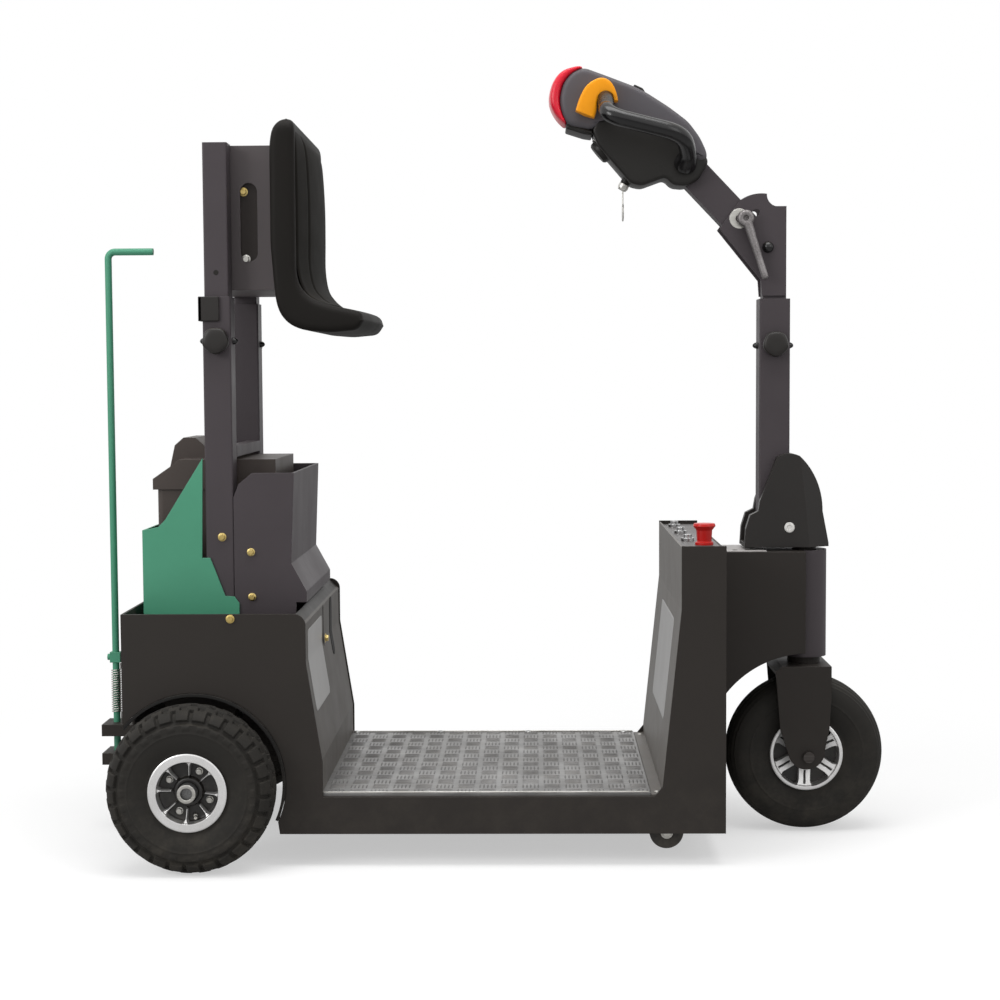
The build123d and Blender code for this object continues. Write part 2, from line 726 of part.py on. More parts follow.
# Tiller arm between the cheeks
ARM_LENGTH = 235.0
with BuildPart() as arm:
    with BuildSketch(arm_plane.offset(-ARM_HALF_W)):
        with Locations((ARM_LENGTH / 2, (ARM_LOW - ARM_HIGH) / 2)):
            Rectangle(ARM_LENGTH, ARM_LOW + ARM_HIGH)
        Circle(ARM_LOW)
        Circle(6.3, mode=Mode.SUBTRACT)
    extrude(amount=2 * ARM_HALF_W)
save(arm, "tiller_arm")

# Pivot bolt, clamp bolt and lever
with BuildPart() as pivot:
    with BuildSketch(side_plane(CHEEK_IN + CHEEK_T + 10)):
        with Locations((TILT_X, TILT_Z)):
            Circle(6.0)
    extrude(amount=2 * (CHEEK_IN + CHEEK_T + 10))
    for y in (CHEEK_IN + CHEEK_T + 10, -CHEEK_IN - CHEEK_T):
        with BuildSketch(side_plane(y)):
            with Locations((TILT_X, TILT_Z)):
                Circle(9.5)
        extrude(amount=10)
save(pivot, "tilt_pivot")

LEVER_TIP = (TILT_X - 5.0, TILT_Z - 55.0)
with BuildPart() as lever:
    hub_y = -CHEEK_IN - CHEEK_T - SEAT_GAP
    with BuildSketch(side_plane(hub_y)):
        with Locations((CLAMP_X, CLAMP_Z)):
            Circle(13)
    extrude(amount=18)
    lever_angle = atan2(LEVER_TIP[1] - CLAMP_Z, LEVER_TIP[0] - CLAMP_X)
    lever_length = hypot(LEVER_TIP[1] - CLAMP_Z, LEVER_TIP[0] - CLAMP_X)
    lever_plane = Plane(
        origin=(CLAMP_X, hub_y - 10, CLAMP_Z),
        x_dir=(cos(lever_angle), 0, sin(lever_angle)),
        z_dir=(0, -1, 0),
    )
    with BuildSketch(lever_plane):
        with BuildLine():
            Polyline(
                (0, -9),
                (lever_length - 5, -5),
                (lever_length, 0),
                (lever_length - 5, 5),
                (0, 9),
                close=True,
            )
        make_face()
    extrude(amount=8)
save(lever, "clamp_lever")


# Tiller head, drawn from the end of the arm
HEAD_X = TILT_X + ARM_LENGTH * cos(radians(ARM_ANGLE))
HEAD_Z = TILT_Z + ARM_LENGTH * sin(radians(ARM_ANGLE))
HEAD_HALF_W = 42.0
HEAD_ROUND = 5.0
KEY_X = HEAD_X - 83.0
KEY_R = 9.0
KEY_TOP = HEAD_Z - 38.0
KEY_LOCK_H = 34.0
with BuildPart() as head:
    with BuildSketch(side_plane(HEAD_HALF_W, HEAD_X, HEAD_Z)):
        with BuildLine():
            Polyline((-150, 132), (-113, 122), (-50, 99), (1, 62))
            ThreePointArc((1, 62), (38, 25), (62, -24))
            Polyline((62, -24), (43, -57), (22, -68), (0, -66), (-13, -52), (-52, -67), (-71, -63))
            Polyline((-71, -63), (-127, 2), (-139, 24), (-178, 36), (-150, 132))
        make_face()
    extrude(amount=2 * HEAD_HALF_W)
    side_edges = head.faces().filter_by(Axis.Y).edges()
    chamfer(side_edges, HEAD_ROUND)
    with BuildSketch(arm_plane.offset(-ARM_HALF_W - 0.2)):
        with Locations((ARM_LENGTH / 2, (ARM_LOW - ARM_HIGH) / 2)):
            Rectangle(ARM_LENGTH + 0.4, ARM_LOW + ARM_HIGH + 0.4)
    extrude(amount=2 * ARM_HALF_W + 0.4, mode=Mode.SUBTRACT)
    with Locations((KEY_X, 0, KEY_TOP)):
        Cylinder(KEY_R + SEAT_GAP, 80, align=(Align.CENTER, Align.CENTER, Align.MAX), mode=Mode.SUBTRACT)
save(head, "tiller_head")

# Key in its lock under the head
KEY_T = 3.0
BOW_R = 17.0
BOW_Z = KEY_TOP - 72.0
with BuildPart() as key:
    with Locations((KEY_X, 0, KEY_TOP - SEAT_GAP)):
        Cylinder(KEY_R, KEY_LOCK_H, align=(Align.CENTER, Align.CENTER, Align.MAX))
    with Locations((KEY_X, 0, KEY_TOP - KEY_LOCK_H - 12)):
        Box(KEY_T, 5, 28)
    with BuildSketch(Plane.YZ.offset(KEY_X - KEY_T / 2)):
        with Locations((0, BOW_Z)):
            Circle(BOW_R)
        with Locations((0, BOW_Z - 6)):
            Circle(4, mode=Mode.SUBTRACT)
    extrude(amount=KEY_T)
save(key, "key")

BELLY_HALF_W = HEAD_HALF_W - 4.0
with BuildPart() as belly:
    with BuildSketch(side_plane(BELLY_HALF_W, HEAD_X, HEAD_Z)):
        with BuildLine():
            Line((-150.5, 132), (-165, 134))
            ThreePointArc((-165, 134), (-198, 120), (-210, 86))
            ThreePointArc((-210, 86), (-201, 58), (-178.5, 36.2))
            Line((-178.5, 36.2), (-150.5, 132))
        make_face()
    extrude(amount=2 * BELLY_HALF_W)
save(belly, "belly_button")

# Hand loops: a grip that slopes out and down from the head, then a guard running back to it
GUARD_R = 12.5
GRIP_X = HEAD_X - 115.0
GRIP_ROOT_Z = HEAD_Z + 90.0
GRIP_END_Y = 135.0
GRIP_END_Z = HEAD_Z + 38.5
GUARD_END_Y = 110.0
ROOT_Y = HEAD_HALF_W - 8.0


def grip_plane(sign):
    """Plane across the grip at its root in the head, looking out along the grip."""
    along = (0, sign * (GRIP_END_Y - ROOT_Y), GRIP_END_Z - GRIP_ROOT_Z)
    return Plane(origin=(GRIP_X, sign * ROOT_Y, GRIP_ROOT_Z), x_dir=(1, 0, 0), z_dir=along)


with BuildPart() as loops:
    for sign in (-1, 1):
        with BuildLine() as route:
            FilletPolyline(
                (GRIP_X, sign * ROOT_Y, GRIP_ROOT_Z),
                (GRIP_X, sign * GRIP_END_Y, GRIP_END_Z),
                (HEAD_X + 23, sign * GUARD_END_Y, HEAD_Z + 8),
                (HEAD_X + 40, sign * ROOT_Y, HEAD_Z - 22),
                radius=26,
            )
        with BuildSketch(grip_plane(sign)):
            Circle(GUARD_R)
        sweep(path=route.line)
    with Locations((HEAD_X, 0, HEAD_Z)):
        Box(2 * ARM_LENGTH, 2 * HEAD_HALF_W, 2 * ARM_LENGTH, mode=Mode.SUBTRACT)
save(loops, "hand_loops")

# Speed wings: a crescent hooked over the root of each grip
WING_T = 23.6
with BuildPart() as wings:
    for sign in (-1, 1):
        with BuildSketch(side_plane(sign * (HEAD_HALF_W + 12) + 12, HEAD_X, HEAD_Z)):
            with BuildLine():
                Polyline((-97, 77), (-112, 114), (-127, 118))
                ThreePointArc((-127, 118), (-156, 92), (-167, 54))
                Polyline((-167, 54), (-138, 43), (-133, 56), (-125, 76), (-97, 77))
            make_face()
        extrude(amount=WING_T)
        with BuildSketch(grip_plane(sign)):
            Circle(GUARD_R + SEAT_GAP)
        extrude(amount=GRIP_END_Y, mode=Mode.SUBTRACT)
save(wings, "speed_wings")

# Seat masts: fixed square tubes joined by a rail, and the upper tubes that slide in them
mast_wall = (MAST_OUT - MAST_IN) / 2 - MAST_GAP
MAST_FOOT = FLOOR_Z + FLOOR_T
RAIL_LOW = 655.0
RAIL_H = 18.0
with BuildPart() as masts_lower:
    for side, sign in SIDES:
        add(square_tube(MAST_X, sign * MAST_Y, MAST_FOOT, MAST_LOW_TOP, MAST_OUT, mast_wall).part)
    with Locations((MAST_X + MAST_OUT / 4, 0, RAIL_LOW + RAIL_H / 2)):
        Box(MAST_OUT / 2, 2 * MAST_Y - MAST_OUT, RAIL_H)
save(masts_lower, "masts_lower")

with BuildPart() as masts_upper:
    for side, sign in SIDES:
        add(square_tube(MAST_X, sign * MAST_Y, MAST_UP_LOW, MAST_TOP, MAST_IN, TUBE_WALL).part)
save(masts_upper, "masts_upper")

# Housing in front of the masts: a cheek plate on each side and a front wall with a flared foot,
# drawn from the masts and the top of the rear box
HOUSE_Y = MAST_Y + MAST_OUT / 2
HOUSE_H = 221.0
HOUSE_FRONT = (
    (119, HOUSE_H),
    (113, 71),
    (138, 25),
    (138, 8),
)
HOUSE_REAR = MAST_OUT / 2 + SEAT_GAP
foot_z = MAST_FOOT - BOX_TOP
foot_x = BOX_FRONT_TOP_X - CORNER_R - 8 - MAST_X
wall = sheet_profile(HOUSE_FRONT, -NECK_T, HOUSE_Y, MAST_X, BOX_TOP)
with BuildPart() as housing:
    for y in (HOUSE_Y, PLATE - HOUSE_Y):
        with BuildSketch(side_plane(y, MAST_X, BOX_TOP)):
            with BuildLine():
                Polyline(
                    *HOUSE_FRONT,
                    (foot_x, 8),
                    (foot_x, foot_z),
                    (HOUSE_REAR, foot_z),
                    (HOUSE_REAR, HOUSE_H - 40),
                    (32, HOUSE_H - 18),
                    (54, HOUSE_H),
                    close=True,
                )
            make_face()
        extrude(amount=PLATE)
    add(wall.part)
save(housing, "mast_housing")

# Battery with its lid and handle, between the masts
BATTERY_REAR_X = MAST_X - 115.0
BATTERY_FRONT_X = MAST_X + 81.0
BATTERY_LENGTH = BATTERY_FRONT_X - BATTERY_REAR_X
BATTERY_HALF_W = 112.0
BATTERY_TOP = 600.0
LID_OVER = 4.0
with BuildPart() as battery:
    with BuildSketch(Plane.XY.offset(MAST_FOOT)):
        with Locations(((BATTERY_REAR_X + BATTERY_FRONT_X) / 2, 0)):
            RectangleRounded(BATTERY_LENGTH, 2 * BATTERY_HALF_W, 10)
    extrude(amount=BATTERY_TOP - MAST_FOOT)
save(battery, "battery_case")

with BuildPart() as lid:
    with BuildSketch(side_plane(BATTERY_HALF_W + LID_OVER, BATTERY_REAR_X, BATTERY_TOP)):
        with BuildLine():
            Polyline(
                (-6, 0),
                (-6, 18),
                (26, 40),
                (38, 50),
                (BATTERY_LENGTH + LID_OVER, 50),
                (BATTERY_LENGTH + LID_OVER, 0),
                close=True,
            )
        make_face()
    extrude(amount=2 * (BATTERY_HALF_W + LID_OVER))
    with BuildSketch(side_plane(60, BATTERY_REAR_X, BATTERY_TOP)):
        with BuildLine():
            Polyline((11, 28), (21, 72), (36, 85), (56, 85), (71, 72), (76, 45), close=True)
        make_face()
    extrude(amount=120)
    with BuildSketch(side_plane(44, BATTERY_REAR_X, BATTERY_TOP)):
        with BuildLine():
            Polyline((-4, 52), (86, 52), (86, 71), (-4, 71), close=True)
        make_face()
    extrude(amount=88, mode=Mode.SUBTRACT)
save(lid, "battery_lid")

# Green holder: back wall and two side sheets round the battery
HOLDER_Y = HOUSE_Y + SEAT_GAP
HOLDER_T = 3.0
HOLDER_REAR = -127.0
HOLDER_WALL_H = 128.0
with BuildPart() as holder:
    for y in (HOLDER_Y + HOLDER_T, -HOLDER_Y):
        with BuildSketch(side_plane(y, MAST_X, BOX_TOP)):
            with BuildLine():
                Polyline(
                    (HOLDER_REAR, foot_z),
                    (HOLDER_REAR, HOLDER_WALL_H),
                    (-101, 133),
                    (-89, 145),
                    (-26, 246),
                    (-29, 82),
                    (-16, 82),
                    (-7, 59),
                    (8, 19),
                    (23, 18),
                    (31, 7),
                    (31, foot_z),
                    close=True,
                )
            make_face()
        extrude(amount=HOLDER_T)
    with Locations((MAST_X + HOLDER_REAR + HOLDER_T / 2, 0, BOX_TOP + (foot_z + HOLDER_WALL_H) / 2)):
        Box(HOLDER_T, 2 * HOLDER_Y, HOLDER_WALL_H - foot_z)
save(holder, "battery_holder")

# Seat bracket: box between the upper masts with a slot in each side
with BuildPart() as bracket:
    bracket_high = MAST_TOP - 1
    bracket_front = SEAT_REAR_X - SEAT_GAP
    bracket_rear = MAST_X - MAST_IN / 2
    with Locations(((bracket_front + bracket_rear) / 2, 0, (BRACKET_LOW + bracket_high) / 2)):
        Box(bracket_front - bracket_rear, 2 * BRACKET_HALF_W, bracket_high - BRACKET_LOW)
    with Locations(((bracket_front + bracket_rear) / 2 - 4, 0, (BRACKET_LOW + bracket_high) / 2)):
        Box(
            bracket_front - bracket_rear,
            2 * (BRACKET_HALF_W - 4),
            bracket_high - BRACKET_LOW - 24,
            mode=Mode.SUBTRACT,
        )
    with BuildSketch(side_plane(BRACKET_HALF_W, SEAT_REAR_X, (BRACKET_LOW + bracket_high) / 2)):
        with Locations((-43, -7)):
            SlotOverall(128, 28, rotation=90)
    extrude(amount=2 * BRACKET_HALF_W, mode=Mode.SUBTRACT)
save(bracket, "seat_bracket")

# Lean seat, drawn from its back and its top: a moulded shell that turns forward into a short ledge with
# a bowed front, and the pad in the shell's pocket
SHELL_RIM = 41.0
POCKET_BACK = 19.0
POCKET_HIGH = -19.0
POCKET_LOW = -241.0
PAD_HALF_W = SEAT_HALF_W - 14
LEDGE_FRONT = 161.0
LEDGE_SIDE = LEDGE_FRONT - 24.0
LEDGE_CORNER_R = 20.0
with BuildPart() as shell:
    with BuildSketch(side_plane(SEAT_HALF_W, SEAT_REAR_X, SEAT_TOP)):
        with BuildLine():
            Polyline((5, -268), (0, -203), (0, -43))
            ThreePointArc((0, -43), (11, -13), (30, 0))
            Polyline((30, 0), (37, -3), (SHELL_RIM, -12), (SHELL_RIM, -243))
            ThreePointArc((SHELL_RIM, -243), (52, -278), (91, -300))
            Polyline((91, -300), (145, -309), (156, -314), (LEDGE_FRONT, -326))
            Polyline((LEDGE_FRONT, -326), (153, -339), (97, -345), (52, -341))
            ThreePointArc((52, -341), (16, -316), (5, -268))
        make_face()
    extrude(amount=2 * SEAT_HALF_W)
    with BuildSketch(Plane(origin=(SEAT_REAR_X, 0, 0))) as plan:
        with BuildLine():
            ThreePointArc((LEDGE_SIDE, -SEAT_HALF_W), (LEDGE_FRONT, 0), (LEDGE_SIDE, SEAT_HALF_W))
            Polyline(
                (LEDGE_SIDE, SEAT_HALF_W), (-1, SEAT_HALF_W), (-1, -SEAT_HALF_W), (LEDGE_SIDE, -SEAT_HALF_W)
            )
        make_face()
        fillet(plan.vertices().group_by(Axis.X)[-1], LEDGE_CORNER_R)
    extrude(amount=SEAT_TOP + 1, mode=Mode.INTERSECT)
    pocket_x = SEAT_REAR_X + (POCKET_BACK + SHELL_RIM) / 2
    with Locations((pocket_x, 0, SEAT_TOP + (POCKET_HIGH + POCKET_LOW) / 2)):
        Box(
            SHELL_RIM - POCKET_BACK,
            2 * (PAD_HALF_W + SEAT_GAP),
            POCKET_HIGH - POCKET_LOW + 2 * SEAT_GAP,
            mode=Mode.SUBTRACT,
        )
save(shell, "seat_shell")

with BuildPart() as pad:
    with BuildSketch(side_plane(PAD_HALF_W, SEAT_REAR_X + SEAT_GAP, SEAT_TOP)):
        with BuildLine():
            Polyline((41, POCKET_HIGH), (POCKET_BACK, POCKET_HIGH), (POCKET_BACK, POCKET_LOW))
            Polyline((POCKET_BACK, POCKET_LOW), (SHELL_RIM, POCKET_LOW), (SHELL_RIM, -242.7))
            ThreePointArc((SHELL_RIM, -242.7), (52, -277.7), (91, -299.7))
            Line((91, -299.7), (91, -296))
            ThreePointArc((91, -296), (67, -263), (60, -218))
            Line((60, -218), (60, -53))
            ThreePointArc((60, -53), (54, -29), (41, POCKET_HIGH))
        make_face()
    extrude(amount=2 * PAD_HALF_W)
save(pad, "seat_pad")

# Index knobs of masts and column, and the clamp block on the rear corner of each fixed mast
KNOB_R = 20.0
KNOB_T = 20.0
MAST_KNOB_Z = 846.0
BLOCK_LENGTH = 34.0
BLOCK_W = 28.0
BLOCK_H = 40.0
BLOCK_X = MAST_X - 12.0
with BuildPart() as mast_knobs:
    for sign in (-1, 1):
        y = sign * (MAST_Y + MAST_OUT / 2)
        with BuildSketch(side_plane(y + (KNOB_T if sign > 0 else 0))):
            with Locations((MAST_X, MAST_KNOB_Z)):
                Circle(KNOB_R)
        extrude(amount=KNOB_T)
        with Locations((BLOCK_X, sign * (MAST_Y + BLOCK_W / 2), MAST_LOW_TOP - BLOCK_H / 2)):
            Box(BLOCK_LENGTH, BLOCK_W, BLOCK_H)
    for sign in (-1, 1):
        with Locations((MAST_X, sign * MAST_Y, MAST_LOW_TOP)):
            Box(MAST_OUT + 2 * SEAT_GAP, MAST_OUT + 2 * SEAT_GAP, 4 * BLOCK_H, mode=Mode.SUBTRACT)
save(mast_knobs, "mast_knobs")

with BuildPart() as column_knob:
    with BuildSketch(side_plane(-COLUMN_OUT / 2)):
        with Locations((COLUMN_X, 838)):
            Circle(KNOB_R)
    extrude(amount=KNOB_T)
save(column_knob, "column_knob")

# Tow coupling: back plate and two jaws, pin with its long rod, return spring
jaw_high = JAW_LOW + JAW_T + JAW_GAP
COUPLING_T = 6.0
COUPLING_H = 110.0
with BuildPart() as jaws:
    with Locations((BOX_REAR_X - COUPLING_T / 2, 0, JAW_LOW + COUPLING_H / 2 - 19)):
        Box(COUPLING_T, 100, COUPLING_H)
    for z in (JAW_LOW, jaw_high):
        jaw_reach = BOX_REAR_X - COUPLING_T - JAW_REAR_X
        with Locations((JAW_REAR_X + jaw_reach / 2, 0, z + JAW_T / 2)):
            Box(jaw_reach, 2 * JAW_HALF_W, JAW_T)
    with BuildSketch(Plane.XY.offset(JAW_LOW - 1)):
        with Locations((PIN_X, 0)):
            Circle(PIN_R + SEAT_GAP)
    extrude(amount=JAW_T * 2 + JAW_GAP + 2, mode=Mode.SUBTRACT)
save(jaws, "tow_jaws")

JAW_TOP = jaw_high + JAW_T
COLLAR_LOW = 292.0
COLLAR_H = 18.0
PIN_TIP_Z = JAW_LOW - 9.0
with BuildPart() as pin:
    with BuildLine() as rod_line:
        FilletPolyline((PIN_X, 0, PIN_TIP_Z), (PIN_X, 0, ROD_TOP), (HANDLE_X, 0, ROD_TOP), radius=12)
    with BuildSketch(Plane.XY.offset(PIN_TIP_Z)):
        with Locations((PIN_X, 0)):
            Circle(PIN_R)
    sweep(path=rod_line.line)
    with Locations((PIN_X, 0, COLLAR_LOW + COLLAR_H / 2)):
        Box(18, 16, COLLAR_H)
    with Locations(Location((PIN_X - 11, 0, COLLAR_LOW + COLLAR_H / 2), (0, 90, 0))):
        Cylinder(5.5, 6)
save(pin, "tow_pin")

COIL_R = 9.0
with BuildPart() as spring:
    spring_low = JAW_TOP + SEAT_GAP
    spring_high = COLLAR_LOW - SEAT_GAP
    with BuildSketch(Plane.XY.offset(spring_low)):
        with Locations((PIN_X, 0)):
            Circle(COIL_R)
            Circle(PIN_R + 0.5, mode=Mode.SUBTRACT)
    extrude(amount=spring_high - spring_low)
save(spring, "return_spring")

# Anti-tip rollers under the front corners of the deck, each between two cheeks on an axle pin
for side, sign in SIDES:
    with BuildPart() as roller:
        with BuildSketch(side_plane(sign * ROLLER_Y + ROLLER_HALF_W)):
            with Locations((ROLLER_X, ROLLER_Z)):
                Circle(ROLLER_R)
                Circle(ROLLER_PIN_R + SEAT_GAP, mode=Mode.SUBTRACT)
        extrude(amount=2 * ROLLER_HALF_W)
    save(roller, f"roller_{side}")

BRACKET_TOP = SILL_TOP - SHEET
CHEEK_GAP = 3.0
ROLLER_CHEEK_T = 4.0
with BuildPart() as roller_brackets:
    for side, sign in SIDES:
        cheek_y = ROLLER_HALF_W + CHEEK_GAP
        for y in (sign * ROLLER_Y + cheek_y + ROLLER_CHEEK_T, sign * ROLLER_Y - cheek_y):
            with BuildSketch(side_plane(y)):
                with Locations((ROLLER_X, (ROLLER_Z + BRACKET_TOP) / 2)):
                    Rectangle(24, BRACKET_TOP - ROLLER_Z)
                with Locations((ROLLER_X, ROLLER_Z)):
                    Circle(12)
            extrude(amount=ROLLER_CHEEK_T)
        with Locations((ROLLER_X, sign * ROLLER_Y, BRACKET_TOP - 3)):
            Box(40, 2 * (cheek_y + ROLLER_CHEEK_T), 6)
        with BuildSketch(side_plane(sign * ROLLER_Y + cheek_y + ROLLER_CHEEK_T)):
            with Locations((ROLLER_X, ROLLER_Z)):
                Circle(ROLLER_PIN_R)
        extrude(amount=2 * (cheek_y + ROLLER_CHEEK_T))
save(roller_brackets, "roller_brackets")
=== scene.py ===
# %% [markdown]
# # A stand-on electric tow tractor, dressed around its CAD model
#
# The CAD model gives every rigid part its true place and size. This script
# loads that model, gives each part a finish, and adds the surfaces that a
# CAD solid can only hint at: tyre treads, cast wheels, a chequer plate, the
# seat pad, a coil spring and dozens of small fasteners. Lengths are metres,
# +X is the direction of travel, +Y is the rider's left and +Z is up.

# %% Load the CAD frame
import json

import bpy
import numpy as np
from mathutils import Matrix, Vector


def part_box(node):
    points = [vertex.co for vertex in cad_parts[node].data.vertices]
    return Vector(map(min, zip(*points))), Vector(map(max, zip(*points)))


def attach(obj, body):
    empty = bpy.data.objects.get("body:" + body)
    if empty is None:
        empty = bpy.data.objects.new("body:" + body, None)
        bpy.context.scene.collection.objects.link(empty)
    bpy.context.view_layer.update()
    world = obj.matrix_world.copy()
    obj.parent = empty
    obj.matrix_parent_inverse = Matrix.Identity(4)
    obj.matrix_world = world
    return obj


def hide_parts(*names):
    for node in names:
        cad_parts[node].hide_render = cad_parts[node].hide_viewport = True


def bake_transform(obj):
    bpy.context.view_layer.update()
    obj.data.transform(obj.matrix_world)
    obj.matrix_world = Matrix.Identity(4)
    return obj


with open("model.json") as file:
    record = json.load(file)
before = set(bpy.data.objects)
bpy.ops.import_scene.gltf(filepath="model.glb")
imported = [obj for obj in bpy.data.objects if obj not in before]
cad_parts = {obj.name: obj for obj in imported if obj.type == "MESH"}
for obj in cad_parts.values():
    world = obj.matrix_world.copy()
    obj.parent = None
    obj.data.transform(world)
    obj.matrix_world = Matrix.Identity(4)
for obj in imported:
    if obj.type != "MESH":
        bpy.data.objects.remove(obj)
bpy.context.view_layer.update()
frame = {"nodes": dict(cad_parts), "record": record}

# %% [markdown]
# ## The camera
#
# A picture is only comparable with a photograph when both are taken from
# the same place. The camera stands about 3.2 m to the rider's right, at
# hip height, with a longish lens. Its turn is given by three
# small angles, and the matrix below is built from them column by column.

# %% Camera
CAMERA_PLACE = Vector((0.074, -3.1925, 0.7844))
CAMERA_YAW = -0.0181
CAMERA_PITCH = 0.0663
CAMERA_ROLL = -0.0057
LENS_MM = 66.6

ahead = Vector((
    np.sin(CAMERA_YAW) * np.cos(CAMERA_PITCH),
    np.cos(CAMERA_YAW) * np.cos(CAMERA_PITCH),
    -np.sin(CAMERA_PITCH),
))
level = Vector((np.cos(CAMERA_YAW), -np.sin(CAMERA_YAW), 0.0))
upright = level.cross(ahead)
right = np.cos(CAMERA_ROLL) * level + np.sin(CAMERA_ROLL) * upright
over = -np.sin(CAMERA_ROLL) * level + np.cos(CAMERA_ROLL) * upright
turn = Matrix((right, over, -ahead)).transposed()

camera = bpy.data.objects.new("camera", bpy.data.cameras.new("camera"))
camera.data.lens = LENS_MM
camera.data.clip_end = 60.0
camera.matrix_world = Matrix.Translation(CAMERA_PLACE) @ turn.to_4x4()
bpy.context.scene.collection.objects.link(camera)
bpy.context.scene.camera = camera
bpy.context.scene.view_settings.view_transform = "Standard"
print("camera looks along", [round(c, 3) for c in ahead])

# %% [markdown]
# ## Helpers for node trees
#
# A material is a small graph. `wire` adds one node, sets its options and
# either links or fills each input, so a whole graph reads like a list of
# steps. Colours are written the way a paint chart gives them, as 0-255
# values, and `chart` turns them into the linear numbers Cycles works with.

# %% Node helpers
def chart(red, green, blue):
    """Linear colour of a 0-255 chart colour: the standard curve, about value to the power 2.2."""
    share = np.array((red, green, blue)) / 255.0
    linear = np.where(share <= 0.04045, share / 12.92, ((share + 0.055) / 1.055) ** 2.4)
    return (*[float(c) for c in linear], 1.0)


def fill(node, inputs):
    """Links or sets the named inputs of a node."""
    for name, value in inputs.items():
        socket = node.inputs[name]
        if isinstance(value, bpy.types.NodeSocket):
            node.id_data.links.new(value, socket)
        else:
            socket.default_value = value
    return node


def wire(tree, kind, inputs=None, **options):
    """Adds a node of the given kind with its options, and fills its inputs."""
    node = tree.nodes.new("ShaderNode" + kind)
    for name, value in options.items():
        setattr(node, name, value)
    return fill(node, inputs or {})


def maths(tree, operation, first, second=0.0, clamp=False):
    """One Math node; gives its output socket."""
    node = wire(tree, "Math", operation=operation, use_clamp=clamp)
    return fill(node, {0: first, 1: second}).outputs[0]


def spread(tree, value, low, high, to_low=0.0, to_high=1.0):
    """Maps low..high smoothly to to_low..to_high."""
    node = wire(
        tree, "MapRange",
        {"Value": value, "From Min": low, "From Max": high, "To Min": to_low, "To Max": to_high},
        interpolation_type="SMOOTHSTEP",
    )
    return node.outputs["Result"]


def blend_colour(tree, share, first, second):
    """Mixes two colours by a share from 0 to 1; sockets 6, 7 and 2 are the colours of a Mix node."""
    node = wire(tree, "Mix", data_type="RGBA")
    fill(node, {0: share, 6: first, 7: second})
    return node.outputs[2]


def noise(tree, place, scale, detail, roughness=0.5):
    """Value of a noise texture: scale is in spots per metre, and detail counts the finer layers on top."""
    inputs = {"Vector": place, "Scale": scale, "Detail": detail, "Roughness": roughness}
    return wire(tree, "TexNoise", inputs).outputs[0]


def new_group(name, inputs, outputs):
    """An empty node group with named sockets: each is (name, kind) or (name, kind, default)."""
    group = bpy.data.node_groups.new(name, "ShaderNodeTree")
    for direction, rows in (("INPUT", inputs), ("OUTPUT", outputs)):
        for row in rows:
            socket = group.interface.new_socket(row[0], in_out=direction, socket_type="NodeSocket" + row[1])
            if len(row) > 2:
                socket.default_value = row[2]
    start = group.nodes.new("NodeGroupInput")
    end = group.nodes.new("NodeGroupOutput")
    return group, start.outputs, end


def use_group(tree, group, **inputs):
    """Places a group in a tree; input names use _ for a space."""
    node = tree.nodes.new("ShaderNodeGroup")
    node.node_tree = group
    return fill(node, {name.replace("_", " "): value for name, value in inputs.items()}).outputs


print("helpers ready")

# %% [markdown]
# ## Floor, backdrop and light
#
# The tractor stands on a plain pale floor in a white studio. The floor is
# an ordinary matt surface, so it keeps the soft shadow under the wheels.
# Only for rays that come straight from the camera is it lifted to white.
# The world is lifted for those rays and for mirrored ones, so the backdrop
# is white without throwing more light on matt paint. Three large lamps give
# shape to dark paint, which is drawn mostly by what it mirrors.

# %% Studio
WORLD_LEVEL = 0.55

world = bpy.data.worlds.new("studio")
world.use_nodes = True
sky = world.node_tree
sky.nodes.clear()
path = wire(sky, "LightPath").outputs
seen = maths(sky, "MAXIMUM", path["Is Camera Ray"], path["Is Transmission Ray"])
seen = maths(sky, "MAXIMUM", seen, path["Is Glossy Ray"])
strength = spread(sky, seen, 0.0, 1.0, WORLD_LEVEL, 1.0)
glow = wire(sky, "Background", {"Color": (1.0, 1.0, 1.0, 1.0), "Strength": strength})
fill(wire(sky, "OutputWorld"), {"Surface": glow.outputs[0]})
bpy.context.scene.world = world

FLOOR_BOUNCE = 0.45
FLOOR_LIFT = 0.08
SHADOW_WASH = 0.45
FLOOR_NEAR = 0.9
FLOOR_FAR = 1.6
floor_finish = bpy.data.materials.new("floor_white")
floor_finish.use_nodes = True
tree = floor_finish.node_tree
tree.nodes.clear()
path = wire(tree, "LightPath").outputs
tone = spread(tree, path["Is Camera Ray"], 0.0, 1.0, FLOOR_BOUNCE, 1.0)
tone = wire(tree, "CombineColor", {"Red": tone, "Green": tone, "Blue": tone}).outputs[0]
matt = wire(tree, "BsdfDiffuse", {"Color": tone})
lift = wire(tree, "Emission", {"Strength": FLOOR_LIFT})
lit = wire(tree, "AddShader", {0: matt.outputs[0], 1: lift.outputs[0]})
plain = wire(tree, "Emission", {"Strength": 1.0})
wash = maths(tree, "MULTIPLY", path["Is Camera Ray"], SHADOW_WASH)
near = wire(tree, "MixShader", {0: wash, 1: lit.outputs[0], 2: plain.outputs[0]})
reach = wire(tree, "VectorMath", {0: wire(tree, "TexCoord").outputs["Object"]}, operation="LENGTH")
far = spread(tree, reach.outputs["Value"], FLOOR_NEAR, FLOOR_FAR)
away = maths(tree, "MULTIPLY", far, path["Is Camera Ray"])
both = wire(tree, "MixShader", {0: away, 1: near.outputs[0], 2: plain.outputs[0]})
fill(wire(tree, "OutputMaterial"), {"Surface": both.outputs[0]})

